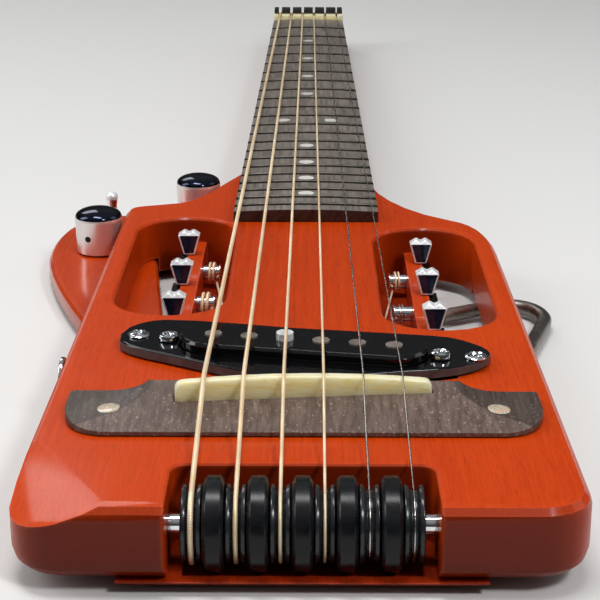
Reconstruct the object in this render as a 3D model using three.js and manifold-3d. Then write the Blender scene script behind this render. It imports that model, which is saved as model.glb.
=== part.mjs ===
// A headless travel guitar with its tuners inside the body.
// Millimetres. +X is the treble side, +Y runs from the tail to the head, +Z comes out of the face.
// The guitar lies on its back: Z = 0 is the flat back of the back panel. Y = 0 is where the scale ends.
import * as THREE from "three";
import { mergeVertices } from "three/addons/utils/BufferGeometryUtils.js";
import Module from "manifold-3d";

const wasm = await Module();
wasm.setup();

// Fits
const gap = 0.3; // between two pieces that seat on each other
const runGap = 0.45; // between a turning piece and what carries it
const overrun = 6; // how far a cut runs past the wood
const weldReach = 0.0001; // corners closer than this are one corner

// Scale, strings and neck
const scaleLength = 628.65;
const fretCount = 22;
const neckAngle = THREE.MathUtils.degToRad(0.8); // the neck leans back from the body's face
const boardEnd = 459.4; // from the nut to the fingerboard's end
const boardThickness = 4.8;
const boardHalfAtNut = 21.5;
const boardHalfAtEnd = 25.9;
const boardArchHeight = 0.8; // how much lower the fingerboard's edges are than its middle
const fretHeight = 0.9;
const fretHalfFoot = 1.15;
const fretHalfCrown = 0.5;
const nutThickness = 5.2;
const nutAboveBoard = 2.6;
const nutSlotAboveBoard = 1.1;
const nutStringPitch = 7.04;
const saddleStringPitch = 10.16;
const rollerStringPitch = 10.25;
const stringRadii = [0.67, 0.57, 0.46, 0.36, 0.25, 0.2];
const neckDepthAtNut = 14.2;
const neckDepthAtHeel = 17.2;
const neckSideWall = 2.6;
const headLength = 22.4; // wood beyond the nut

// Body
const sideDepth = 19.1;
const panelThickness = 3.6;
const tailReach = 60; // from the scale's end to the tail face
const bodyShift = -0.6; // the body's middle lies this far to the bass side of the strings' middle
const halfWidthTail = 67.65;
const halfWidthHead = 65.9;
const tailCornerRadius = 12;
const edgeRound = 4; // along the face
const backEdgeRound = 5.5; // along the back
const trebleSideEndY = 138;
const trebleNeckJoinY = 236;
const bassSideEndY = 186;
const bassNeckJoinY = 246;
const forearmBevelSide = 45; // how far the bass corner's bevel runs up the side
const forearmBevelTail = 25; // and along the tail
const forearmBevelDepth = 8;

// Cutouts for the tuners
const cutoutInner = 24;
const cutoutOuter = 58.4;
const cutoutLength = 103.6;
const trebleCutoutTail = 58.4;
const bassCutoutShift = 12.5; // the bass cutout lies nearer the head
const cutoutCornerRadius = 15;
const bassTunerShift = 9.7; // and so do the bass tuners
const cutoutRim = 1.8; // rounding of the rim
const ribInner = 35.4;
const ribOuter = 41;
const ribDrop = 9; // the rib's top below the face
const ribSkin = 1; // wood left between a tuner's housing and the strings

// Bass wing with the controls
const wingDrop = 14.3; // its face below the body's face
const wingLift = 0.4; // its back above the panel's back
const wingTailEnd = 98;
const wingHeadEnd = 240;
const wingOuter = 94;
const wingInnerTail = 45.5;
const wingInnerHead = 55;
const wingNeckSide = 28.6;
const wingRound = 2.6;
const wingSkin = 2;
const cavityHalfWidth = 10.5;

// Tail rollers
const axleRadius = 2.5;
const axleBehind = 48.3; // from the scale's end to the axle
const axleDrop = 9.6; // below the face
const axleSeat = 4.6; // how far it sits in each side block
const slotHalfWidth = 31.3;
const slotHead = 36;
const slotCornerRadius = 4;
const slotTailRound = 2; // where its sides meet the tail face
const slotRim = 1.2;
const rollerWidth = 4.45;
const rollerFlangeRadius = 9.3;
const rollerGrooveRadius = 8;
const rollerGrooveHalf = 0.8;
const rollerFlangeEdge = 0.5;
const spacerRadius = 11.3;
const spacerChamfer = 1;
const stringClearance = 0.3; // a string's skin to what it runs on

// Tuners: three in each cutout, buttons up
const tunerPitch = 33.6;
const tunerHeadMargin = 11.8; // from the cutout's head end to the first button
const tunerShaftX = 40.5;
const buttonTopAbove = 0.1; // above the body's face
const buttonHeight = 8.8;
const buttonTopHalf = 4;
const buttonFootHalf = 2.15;
const buttonHalfDepth = 2.5;
const buttonEdge = 0.7;
const stemRadius = 1.5;
const wormRadius = 1.95;
const wormLength = 3.9;
const gearRadius = 3.2;
const gearWidth = 3;
const gearTeeth = 14;
const postRadius = 2.4;
const postEndRadius = 3.2;
const postEndLength = 0.7;
const postDrop = 14; // post axis below the face
const postInnerX = 28.8;
const windInnerX = 30.85;
const windTurns = 2;
const windGap = 0.45; // between the skins of two turns
const housingWall = 1;
const housingLid = 0.5;

// Bridge and saddle
const bridgeHalfLength = 60.8;
const bridgeHead = 3.9;
const bridgeTail = 20.6;
const bridgeBackHeight = 5.5;
const bridgeFrontHeight = 1.4;
const bridgeWingHeight = 2.5;
const bridgeBlockHalf = 38.5;
const bridgeScoopEnd = 51;
const bridgeCornerRadius = 1.5; // at the back
const bridgeFrontHalf = 50.5; // the straight part of the tail side
const bridgeSideTail = 7.5; // the ends are straight as far as this
const saddleHalfLength = 33;
const saddleThickness = 3;
const saddleSetBack = 2.6; // string compensation at the middle
const saddleSlant = 1.8; // extra at the outer strings
const saddleCrownHeight = 9.7; // above the face, at the middle
const saddleArchHeight = 0.95; // lower by this at the outer strings
const saddleTiltHeight = 0.42; // bass side higher, treble side lower
const saddleSlotDepth = 2.2;
const saddleEdge = 0.7;
const saddleEndRound = 2.5;
const piezoHeight = 0.8;

// Pickup
const pickupMiddle = 34.5; // from the scale's end
const pickupTurn = THREE.MathUtils.degToRad(-10);
const ringHalfLength = 52.5;
const ringFarReach = 15.4;
const ringNearReach = 23;
const ringThickness = 2.4;
const ringEdge = 0.35;
const coverHalfLength = 34.9;
const coverHalfWidth = 9;
const coverNearShift = 2.2; // the pickup lies nearer the bridge than the ring's middle
const coverTop = 6.2; // above the face
const coverDeep = 6; // below the face
const coverWall = 1.1;
const coverEdge = 0.8;
const poleRadius = 2.35;
const poleAbove = 0.35;
const poleRaised = 1.5; // the fourth-thickest string's pole stands higher
const bobbinHalfLength = 32.5;
const bobbinHalfWidth = 6.2;
const basePlateHalfLength = 43;
const basePlateEarHalf = 5;
const basePlateShoulder = 36.5;
const basePlateThickness = 1.6;
const pickupCavityDepth = 13;
const heightScrewX = 38.2;
const heightScrewRadius = 1.4;
const heightScrewHead = 2.9;
const heightScrewHeadHeight = 1.9;

// Controls and jack
const volumeX = 75.5;
const volumeY = 179.2;
const toneX = 42.3;
const toneY = 227.1;
const toggleX = 73.2;
const toggleY = 201.5;
const knobFootRadius = 8.1;
const knobRimRadius = 8.6;
const knobRimHeight = 12.6;
const knobHeight = 16.4;
const knobLift = 0.5;
const knobRecessRadius = 6.3;
const knobRecessDepth = 4.4;
const shaftRadius = 2.2;
const bushingRadius = 3.5;
const bushingAbove = 3.4;
const nutRadius = 5;
const nutHeight = 1.7;
const potRadius = 8;
const potHeight = 3.8;
const toggleBushingRadius = 3.3;
const toggleBushingAbove = 4.4;
const toggleBoxHalfX = 6.4;
const toggleBoxHalfY = 3.6;
const leverRadius = 1.5;
const leverTipRadius = 2.3;
const leverAbove = 12;
const leverBelow = 2.4;
const jackY = 40;
const jackDrop = 8.8;
const jackBarrelRadius = 4.4;
const jackBore = 3.25;
const jackClearance = 3.6; // from the jack's inner end to the pickup's base plate
const jackFlangeRadius = 6.2;
const jackFlange = 1.3;

// Lap rest
const restRodRadius = 2.4;
const restPivotX = 54.2;
const restPivotY = 41;
const restKneeX = 80.5;
const restKneeY = 121.5;
const restElbowX = 74.5;
const restElbowY = 139.5;
const restLegX = 45.6;
const restLegY = 123.5;
const restBendRadius = 9;
const restPinRise = 11;
const restPocketDepth = 2.3;
const restPocketInner = 43.9;
const restPocketTail = 28;
const restPocketHead = 147;

// Truss rod, in its groove under the fingerboard
const trussHalfWidth = 3;
const trussDepth = 8.6;
const trussTailEnd = 440;
const trussHeadEnd = 12;

// Levels that follow from the sizes above
const faceZ = panelThickness + sideDepth;
const wingFaceZ = faceZ - wingDrop;
const axleY = -axleBehind;
const axleZ = faceZ - axleDrop;
const boardEndY = (scaleLength - boardEnd) * Math.cos(neckAngle);

const up = new THREE.Vector3(0, 0, 1);
const forward = new THREE.Vector3(0, 1, 0);
const across = new THREE.Vector3(1, 0, 0);

// Turns a closed geometry into a solid for cutting and joining.
function solid(geometry) {
  for (const name of Object.keys(geometry.attributes)) {
    if (name !== "position") geometry.deleteAttribute(name);
  }
  const welded = mergeVertices(geometry, weldReach);
  const vertProperties = new Float32Array(welded.attributes.position.array);
  const triVerts = new Uint32Array(welded.index.array);
  return new wasm.Manifold(new wasm.Mesh({ numProp: 3, vertProperties, triVerts }));
}

// Turns a solid back into a geometry.
function geometryOf(body) {
  const { vertProperties, triVerts, numProp } = body.getMesh();
  const geometry = new THREE.BufferGeometry();
  const positions = new Float32Array((vertProperties.length / numProp) * 3);
  for (let i = 0; i < positions.length / 3; i++) {
    for (let k = 0; k < 3; k++) positions[i * 3 + k] = vertProperties[i * numProp + k];
  }
  geometry.setAttribute("position", new THREE.BufferAttribute(positions, 3));
  geometry.setIndex(new THREE.BufferAttribute(new Uint32Array(triVerts), 1));
  return geometry;
}

// An outline in X and Y, standing from one level to another, with rounded edges if round is given.
function standing(shape, from, to, round = 0, segments = 6, steps = 2) {
  const geometry = new THREE.ExtrudeGeometry(shape, {
    depth: to - from - 2 * round,
    bevelEnabled: round > 0,
    bevelThickness: round,
    bevelSize: round,
    bevelOffset: -round,
    bevelSegments: steps,
    curveSegments: segments,
  });
  return geometry.translate(0, 0, from + round);
}

// An outline in Y and Z, running along X.
function alongX(shape, from, to, round = 0, segments = 6, steps = 1) {
  const turn = new THREE.Matrix4().makeBasis(forward, up, across);
  return standing(shape, from, to, round, segments, steps).applyMatrix4(turn);
}

// An outline in X and Z, running along Y.
function alongY(shape, from, to, round = 0, segments = 6, steps = 1) {
  const turn = new THREE.Matrix4().makeBasis(across, up, forward.clone().negate());
  return standing(shape, -to, -from, round, segments, steps).applyMatrix4(turn);
}

function polygon(points) {
  return new THREE.Shape(points.map(([x, y]) => new THREE.Vector2(x, y)));
}

function rectangle(x0, y0, x1, y1) {
  return polygon([[x0, y0], [x1, y0], [x1, y1], [x0, y1]]);
}

function roundedRectangle(x0, y0, x1, y1, radius) {
  const shape = new THREE.Shape();
  shape.moveTo(x0 + radius, y0);
  shape.lineTo(x1 - radius, y0);
  shape.quadraticCurveTo(x1 - radius * cornerPullShare, y0 + radius * cornerPullShare, x1, y0 + radius);
  shape.lineTo(x1, y1 - radius);
  shape.quadraticCurveTo(x1 - radius * cornerPullShare, y1 - radius * cornerPullShare, x1 - radius, y1);
  shape.lineTo(x0 + radius, y1);
  shape.quadraticCurveTo(x0 + radius * cornerPullShare, y1 - radius * cornerPullShare, x0, y1 - radius);
  shape.lineTo(x0, y0 + radius);
  shape.quadraticCurveTo(x0 + radius * cornerPullShare, y0 + radius * cornerPullShare, x0 + radius, y0);
  return shape;
}

// A circle as a regular polygon that holds the true radius at its flats.
function disc(radius, sides = 16, x = 0, y = 0) {
  const reach = radius / Math.cos(Math.PI / sides);
  const points = [];
  for (let i = 0; i < sides; i++) {
    const angle = ((i + 0.5) * 2 * Math.PI) / sides;
    points.push([x + reach * Math.cos(angle), y + reach * Math.sin(angle)]);
  }
  return polygon(points);
}

// A turned piece on the Z axis, from a closed profile of [radius, height] points.
function turned(profile, sides) {
  const points = profile.map(([radius, height]) => new THREE.Vector2(radius, height));
  return new THREE.LatheGeometry(points, sides).rotateX(Math.PI / 2);
}

// A turned piece on the X axis.
function turnedOnX(profile, sides) {
  return turned(profile, sides).rotateY(Math.PI / 2);
}

// A closed skin through rings of points, capped at both ends.
function skin(rings) {
  const count = rings[0].length;
  const positions = rings.flat().flatMap((p) => [p.x, p.y, p.z]);
  const index = [];
  for (let r = 0; r + 1 < rings.length; r++) {
    for (let i = 0; i < count; i++) {
      const a = r * count + i;
      const b = r * count + ((i + 1) % count);
      index.push(a, b, b + count, a, b + count, a + count);
    }
  }
  for (const r of [0, rings.length - 1]) {
    const flat = flatten(rings[r]);
    for (const [a, b, c] of THREE.ShapeUtils.triangulateShape(flat, [])) {
      const base = r * count;
      if (r === 0) index.push(base + a, base + c, base + b);
      else index.push(base + a, base + b, base + c);
    }
  }
  const geometry = new THREE.BufferGeometry();
  geometry.setAttribute("position", new THREE.Float32BufferAttribute(positions, 3));
  geometry.setIndex(facingOut(positions, index));
  return geometry;
}

// The same triangles, turned over where they would close round a negative volume.
function facingOut(positions, index) {
  let volume = 0;
  for (let i = 0; i < index.length; i += 3) {
    const [a, b, c] = index.slice(i, i + 3).map((k) => new THREE.Vector3().fromArray(positions, 3 * k));
    volume += a.dot(b.cross(c));
  }
  return volume > 0 ? index : index.reverse();
}

// Seen along its own normal, a ring is a flat outline.
function flatten(ring) {
  const normal = new THREE.Vector3();
  for (let i = 0; i < ring.length; i++) {
    normal.add(new THREE.Vector3().crossVectors(ring[i], ring[(i + 1) % ring.length]));
  }
  normal.normalize();
  const side = new THREE.Vector3().subVectors(ring[1], ring[0]).normalize();
  const other = new THREE.Vector3().crossVectors(normal, side);
  return ring.map((p) => new THREE.Vector2(p.dot(side), p.dot(other)));
}

// A round bar through a list of points, each with its own radius. The rings never twist.
function bar(points, radii, sides) {
  const rings = [];
  let side = null;
  for (let i = 0; i < points.length; i++) {
    const before = points[Math.max(i - 1, 0)];
    const after = points[Math.min(i + 1, points.length - 1)];
    const into = new THREE.Vector3().subVectors(points[i], before).normalize();
    const out = new THREE.Vector3().subVectors(after, points[i]).normalize();
    const along = into.clone().add(out).normalize();
    if (side === null) side = new THREE.Vector3().crossVectors(along, Math.abs(along.z) > 0.9 ? across : up);
    side.addScaledVector(along, -side.dot(along)).normalize();
    const other = new THREE.Vector3().crossVectors(along, side);
    const ring = [];
    for (let k = 0; k < sides; k++) {
      const angle = (2 * Math.PI * k) / sides;
      const radius = radii[i];
      ring.push(points[i].clone()
        .addScaledVector(side, radius * Math.cos(angle))
        .addScaledVector(other, radius * Math.sin(angle)));
    }
    rings.push(ring);
  }
  return skin(rings);
}

// A path of straight runs whose corners are arcs.
function bent(corners, radius, steps) {
  const path = [corners[0]];
  for (let i = 1; i + 1 < corners.length; i++) {
    const into = new THREE.Vector3().subVectors(corners[i], corners[i - 1]).normalize();
    const out = new THREE.Vector3().subVectors(corners[i + 1], corners[i]).normalize();
    const turn = into.angleTo(out);
    const back = radius * Math.tan(turn / 2);
    const start = corners[i].clone().addScaledVector(into, -back);
    const inward = out.clone().addScaledVector(into, -out.dot(into)).normalize();
    for (let s = 0; s <= steps; s++) {
      const angle = (turn * s) / steps;
      path.push(start.clone()
        .addScaledVector(into, radius * Math.sin(angle))
        .addScaledVector(inward, radius * (1 - Math.cos(angle))));
    }
  }
  path.push(corners[corners.length - 1]);
  return path;
}

const at = (x, y, z) => new THREE.Vector3(x, y, z);

// Where a point of the neck lies: t along the string from the nut, h above the fingerboard's middle.
function onNeck(t, h, x = 0) {
  const along = boardEnd - t;
  const y = boardEndY + along * Math.cos(neckAngle);
  return at(x, y, faceZ + boardThickness - along * Math.sin(neckAngle) + h);
}

const boardHalf = (t) => boardHalfAtNut + ((boardHalfAtEnd - boardHalfAtNut) * t) / boardEnd;
const fretPlace = (n) => scaleLength * (1 - 2 ** (-n / 12));
const cornerPullShare = 0.12;

// ---- Body ----

// The outline of the neck-through body, seen from the face, from the tail round by the treble side.
const neckHalfAtJoin = boardHalf(scaleLength - trebleNeckJoinY);
const trebleShoulderShares = [[1, 0.31], [0.69, 0.383], [0.25, 0.51], [0.03, 0.75]];
const bassShoulderShares = [[1, 0.1], [0.85, 0.13], [0.54, 0.2], [0.385, 0.25], [0.24, 0.6]];

function shoulder(shares, side, sideEnd, neckJoin) {
  return shares.map(([u, v]) => [
    u * bodyShift + side * (neckHalfAtJoin + u * (halfWidthHead - neckHalfAtJoin)),
    sideEnd + v * (neckJoin - sideEnd),
  ]);
}

function bodyOutline() {
  const treble = shoulder(trebleShoulderShares, 1, trebleSideEndY, trebleNeckJoinY);
  const bass = shoulder(bassShoulderShares, -1, bassSideEndY, bassNeckJoinY);
  const pull = tailCornerRadius * cornerPullShare;
  const [trebleTail, trebleHead] = [halfWidthTail + bodyShift, halfWidthHead + bodyShift];
  const [bassTail, bassHead] = [bodyShift - halfWidthTail, bodyShift - halfWidthHead];
  const shape = new THREE.Shape();
  shape.moveTo(trebleTail - tailCornerRadius, -tailReach);
  shape.quadraticCurveTo(trebleTail - pull, -tailReach + pull, trebleTail, -tailReach + tailCornerRadius);
  shape.lineTo(trebleHead, trebleSideEndY);
  shape.quadraticCurveTo(...treble[0], ...treble[1]);
  shape.bezierCurveTo(...treble[2], ...treble[3], neckHalfAtJoin, trebleNeckJoinY);
  shape.lineTo(neckHalfAtJoin, bassNeckJoinY);
  shape.lineTo(-neckHalfAtJoin, bassNeckJoinY);
  shape.bezierCurveTo(...bass[4], ...bass[3], ...bass[2]);
  shape.lineTo(...bass[1]);
  shape.quadraticCurveTo(...bass[0], bassHead, bassSideEndY);
  shape.lineTo(bassTail, -tailReach + tailCornerRadius);
  shape.quadraticCurveTo(bassTail + pull, -tailReach + pull, bassTail + tailCornerRadius, -tailReach);
  return shape;
}

// One D-shaped section of the neck, under the fingerboard's seat.
function neckRing(t, depth, half = boardHalf(t)) {
  const top = -boardThickness;
  const ring = [onNeck(t, top, half)];
  const arcSteps = 8;
  for (let i = 0; i <= arcSteps; i++) {
    const angle = (Math.PI * i) / arcSteps;
    const low = top - neckSideWall - (depth - neckSideWall) * Math.sin(angle);
    ring.push(onNeck(t, low, half * Math.cos(angle)));
  }
  ring.push(onNeck(t, top, -half));
  return ring;
}

function neck() {
  const heelStart = scaleLength - trebleNeckJoinY + neckDepthAtHeel;
  const heelEnd = heelStart - 2 * boardHalfAtEnd;
  const bodyInside = scaleLength - trebleNeckJoinY + 2 * boardHalfAtEnd;
  const depthAt = (t) => neckDepthAtNut + ((neckDepthAtHeel - neckDepthAtNut) * t) / heelEnd;
  return skin([
    neckRing(bodyInside, sideDepth - gap),
    neckRing(heelStart, sideDepth - gap),
    neckRing((heelStart + heelEnd) / 2, (sideDepth + neckDepthAtHeel) / 2 - gap),
    neckRing(heelEnd, neckDepthAtHeel),
    neckRing(heelEnd / 2, depthAt(heelEnd / 2)),
    neckRing(0, neckDepthAtNut),
    neckRing(-headLength, neckDepthAtNut, boardHalfAtNut),
  ]);
}

// From the body's middle outward on one side, as two places along X in rising order.
function spanOn(side, near, far) {
  return side > 0 ? [bodyShift + near, bodyShift + far] : [bodyShift - far, bodyShift - near];
}

function cutoutShape(side, tailEnd, grow = 0) {
  const [x0, x1] = spanOn(side, cutoutInner - grow, cutoutOuter + grow);
  const radius = cutoutCornerRadius + grow;
  return roundedRectangle(x0, tailEnd - grow, x1, tailEnd + cutoutLength + grow, radius);
}

const cutoutTail = (side) => trebleCutoutTail + (side < 0 ? bassCutoutShift : 0);

// The open space of one cutout: all of it above the rib, and both sides of the rib below.
function cutoutSpace(side) {
  const low = panelThickness - overrun;
  const high = faceZ + overrun;
  const whole = solid(standing(cutoutShape(side, cutoutTail(side)), low, high, 0, 5));
  const [near, far] = spanOn(side, ribInner, ribOuter);
  const rib = solid(standing(rectangle(near, -tailReach, far, scaleLength), low - gap, faceZ - ribDrop));
  return whole.subtract(rib).add(solid(roundedRim((grow) => cutoutShape(side, cutoutTail(side), grow), cutoutRim)));
}

// What comes off the edge of an opening in the face to round it. The outline is given by how far it has grown.
function roundedRim(outline, radius) {
  const rings = [ringOf(outline(-gap), faceZ - radius - gap)];
  const steps = 3;
  for (let i = 0; i <= steps; i++) {
    const angle = (Math.PI * i) / (steps + steps);
    rings.push(ringOf(outline(radius * (1 - Math.cos(angle))), faceZ - radius * (1 - Math.sin(angle))));
  }
  rings.push(ringOf(outline(radius), faceZ + overrun));
  return skin(rings);
}

function ringOf(shape, z) {
  return shape.getPoints(5).slice(0, -1).map((p) => at(p.x, p.y, z));
}

// The places of the six tuners, thickest string first. The outer strings go to the nearest tuners.
function tunerOf(string) {
  const side = string < 3 ? -1 : 1;
  const fromTail = string < 3 ? string : 5 - string;
  const first = trebleCutoutTail + cutoutLength - tunerHeadMargin + (side < 0 ? bassTunerShift : 0);
  const y = first - (2 - fromTail) * tunerPitch;
  return { side, fromTail, x: bodyShift + side * tunerShaftX, y };
}

const tuners = [0, 1, 2, 3, 4, 5].map(tunerOf);
const postOffset = wormRadius + gearRadius + runGap; // worm axis to gear axis
const postY = (tuner) => tuner.y - postOffset;
const postZ = faceZ - postDrop;
const spread = (pitch, string) => (string - 2.5) * pitch;

// A tuner's worm, gear and housing, which the pockets in the ribs follow.
const buttonFootZ = faceZ + buttonTopAbove - buttonHeight;
const wormTopZ = postZ + wormLength / 2;
const wormFootZ = postZ - wormLength / 2;
const housingTopZ = postZ + gearRadius + runGap + housingLid;
const housingFootZ = postZ - gearRadius - gap - housingWall;
const housingInner = ribInner + ribSkin + gap;
const housingOuter = tunerShaftX + wormRadius + runGap + housingWall;
const gearMiddleX = tunerShaftX;

// A tuner's housing reaches from beyond its gear, on the tail side, to beyond its worm.
function housingEnds(tuner) {
  return {
    tail: postY(tuner) - gearRadius - runGap - housingWall,
    head: tuner.y + wormRadius + runGap + housingWall,
  };
}

const rollerX = (string) => spread(rollerStringPitch, string);
const grooveRun = (string) => rollerGrooveRadius + stringClearance + stringRadii[string];
const postRun = (string) => postRadius + stringClearance + stringRadii[string];
const windStart = (string) => bodyShift + tuners[string].side * windInnerX;

// The straight run of a string from under its roller to under its post.
function underRun(string) {
  const tuner = tuners[string];
  const a = new THREE.Vector2(axleY, axleZ);
  const b = new THREE.Vector2(postY(tuner), postZ);
  const lean = Math.asin((grooveRun(string) - postRun(string)) / a.distanceTo(b));
  const slope = Math.atan2(b.y - a.y, b.x - a.x) + lean;
  const down = new THREE.Vector2(Math.sin(slope), -Math.cos(slope));
  return {
    slope,
    from: at(rollerX(string), a.x + down.x * grooveRun(string), a.y + down.y * grooveRun(string)),
    to: at(
      windStart(string),
      b.x + down.x * postRun(string),
      b.y + down.y * postRun(string),
    ),
  };
}

const grooveHalf = 2;
const grooveAbove = 2.4;

// The groove that a string follows through the back of the body.
function stringGroove(string) {
  const { from, to } = underRun(string);
  const along = to.clone().sub(from).setZ(0).normalize();
  const side = at(-along.y, along.x, 0).multiplyScalar(grooveHalf);
  const low = panelThickness - overrun;
  const ring = (point) => [
    point.clone().sub(side).setZ(low),
    point.clone().add(side).setZ(low),
    point.clone().add(side).setZ(point.z + grooveAbove),
    point.clone().sub(side).setZ(point.z + grooveAbove),
  ];
  return skin([ring(to.clone().addScaledVector(along, gap)), ring(from)]);
}

// Everything below moves with the pickup's turn about its middle.
function onPickup(geometry) {
  return geometry.rotateZ(pickupTurn).translate(0, pickupMiddle, 0);
}

function forearmBevel() {
  const side = bodyShift - halfWidthTail;
  const a = at(side, -tailReach + forearmBevelSide, faceZ);
  const b = at(side + forearmBevelTail, -tailReach, faceZ);
  const c = at(side, -tailReach, faceZ - forearmBevelDepth);
  const along = b.clone().sub(a).normalize();
  const normal = along.clone().cross(c.clone().sub(a)).normalize();
  if (normal.z < 0) normal.negate();
  const inward = normal.clone().cross(along);
  const size = 2 * (forearmBevelSide + forearmBevelTail);
  const block = standing(rectangle(-size, -size, size, size), 0, size);
  const place = new THREE.Matrix4().makeBasis(along, inward, normal).setPosition(a);
  return block.applyMatrix4(place);
}

function wingOutline(grow = 0) {
  const shape = new THREE.Shape();
  const length = wingHeadEnd - wingTailEnd;
  const y = (share) => wingTailEnd + length * share;
  const x = (share) => -(wingOuter * share) - grow;
  shape.moveTo(-wingInnerTail + grow, wingTailEnd - grow);
  shape.lineTo(-wingInnerTail + grow, y(0.05));
  shape.lineTo(-wingInnerHead + grow, y(0.6) - grow);
  shape.lineTo(-wingNeckSide + grow, y(0.645) - grow);
  shape.lineTo(-wingNeckSide + grow, wingHeadEnd + grow);
  shape.bezierCurveTo(x(0.5), y(0.97) + grow, x(0.76), y(0.95) + grow, x(0.91), y(0.872) + grow);
  shape.bezierCurveTo(x(1.005), y(0.8), x(1.01), y(0.64), x(0.995), y(0.54));
  shape.bezierCurveTo(x(0.965), y(0.4), x(0.88), y(0.23), x(0.77), y(0.05) - grow);
  shape.lineTo(x(0.72), wingTailEnd - grow);
  return shape;
}

// The slot for the rollers, open at the tail face, where its sides round into that face.
function slotShape(grow) {
  const half = slotHalfWidth + grow;
  const head = -slotHead + grow;
  const flare = half + slotTailRound;
  const shape = new THREE.Shape();
  shape.moveTo(-flare, -tailReach - overrun);
  shape.lineTo(flare, -tailReach - overrun);
  shape.lineTo(flare, -tailReach);
  shape.quadraticCurveTo(half, -tailReach, half, -tailReach + slotTailRound);
  shape.lineTo(half, head - slotCornerRadius);
  shape.quadraticCurveTo(half, head, half - slotCornerRadius, head);
  shape.lineTo(-half + slotCornerRadius, head);
  shape.quadraticCurveTo(-half, head, -half, head - slotCornerRadius);
  shape.lineTo(-half, -tailReach + slotTailRound);
  shape.quadraticCurveTo(-half, -tailReach, -flare, -tailReach);
  return shape;
}

const restFloorZ = panelThickness + restPocketDepth;

function lapRestPocket() {
  const shape = rectangle(restPocketInner, restPocketTail, halfWidthTail + overrun, restPocketHead);
  return standing(shape, panelThickness - overrun, restFloorZ);
}

function neckBody() {
  const fromFace = solid(standing(bodyOutline(), panelThickness - overrun, faceZ, edgeRound, 6, 3));
  const fromBack = solid(standing(bodyOutline(), panelThickness, faceZ + overrun, backEdgeRound, 6, 3));
  let body = fromFace.intersect(fromBack);
  body = body.add(solid(neck()));
  for (const side of [-1, 1]) body = body.subtract(cutoutSpace(side));

  // the fingerboard's seat, which sinks into the face as the neck leans back
  const seatHalf = boardHalfAtEnd + gap;
  const seat = skin([0, boardEnd + gap].map((t) => [
    onNeck(t, overrun, seatHalf),
    onNeck(t, -boardThickness, seatHalf),
    onNeck(t, -boardThickness, -seatHalf),
    onNeck(t, overrun, -seatHalf),
  ]));
  body = body.subtract(solid(seat));

  // the truss rod's groove
  const rodHalf = trussHalfWidth + gap;
  const rodEnds = [trussHeadEnd - gap, trussTailEnd + gap];
  const rodGroove = skin(rodEnds.map((t) => [
    onNeck(t, overrun, rodHalf),
    onNeck(t, -boardThickness - trussDepth - gap, rodHalf),
    onNeck(t, -boardThickness - trussDepth - gap, -rodHalf),
    onNeck(t, overrun, -rodHalf),
  ]));
  body = body.subtract(solid(rodGroove));

  // the slot for the rollers, and the seats that the axle drops into from the back
  body = body.subtract(solid(standing(slotShape(0), panelThickness - overrun, faceZ + overrun, 0, 5)));
  body = body.subtract(solid(roundedRim(slotShape, slotRim)));
  const seatReach = slotHalfWidth + axleSeat + gap;
  const axleHole = alongX(disc(axleRadius + gap, 12, axleY, axleZ), -seatReach, seatReach);
  const dropShape = rectangle(axleY - axleRadius - gap, panelThickness - overrun, axleY + axleRadius + gap, axleZ);
  body = body.subtract(solid(axleHole)).subtract(solid(alongX(dropShape, -seatReach, seatReach)));

  for (let string = 0; string < 6; string++) body = body.subtract(solid(stringGroove(string)));

  // in the ribs, from the back, a pocket for each tuner's housing, with holes for its post and its stem
  for (const tuner of tuners) {
    const { tail, head } = housingEnds(tuner);
    const [x0, x1] = spanOn(tuner.side, housingInner - gap, housingOuter + gap);
    const pocket = rectangle(x0, tail - gap, x1, head + gap);
    body = body.subtract(solid(standing(pocket, panelThickness - overrun, housingTopZ + gap)));
    const [from, to] = spanOn(tuner.side, ribInner - gap, housingInner + gap);
    body = body.subtract(solid(alongX(disc(postRadius + runGap, 10, postY(tuner), postZ), from, to)));
    const stem = disc(stemRadius + runGap, 8, tuner.x, tuner.y);
    body = body.subtract(solid(standing(stem, housingTopZ, faceZ)));
  }

  // under the pickup
  const cavity = onPickup(standing(plateShape(gap + gap), faceZ - pickupCavityDepth, faceZ + overrun));
  body = body.subtract(solid(cavity));

  // the jack's bore, from the bass side to the pickup's cavity
  const bore = disc(jackBarrelRadius + gap, 12, jackY, faceZ - jackDrop);
  body = body.subtract(solid(alongX(bore, bodyShift - halfWidthTail - overrun, -basePlateHalfLength)));

  body = body.subtract(solid(forearmBevel()));
  body = body.subtract(solid(standing(wingOutline(gap), panelThickness - overrun, wingFaceZ + gap, 0, 5)));
  body = body.subtract(solid(lapRestPocket()));
  const pin = disc(restRodRadius + gap, 12, restPivotX, restPivotY);
  body = body.subtract(solid(standing(pin, panelThickness - overrun, restFloorZ + restPinRise + gap)));
  const bendRoom = disc(2 * restRodRadius, 12, restPivotX, restPivotY);
  body = body.subtract(solid(standing(bendRoom, panelThickness - overrun, restFloorZ + restRodRadius)));
  return body;
}

// ---- Bass wing ----

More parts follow.
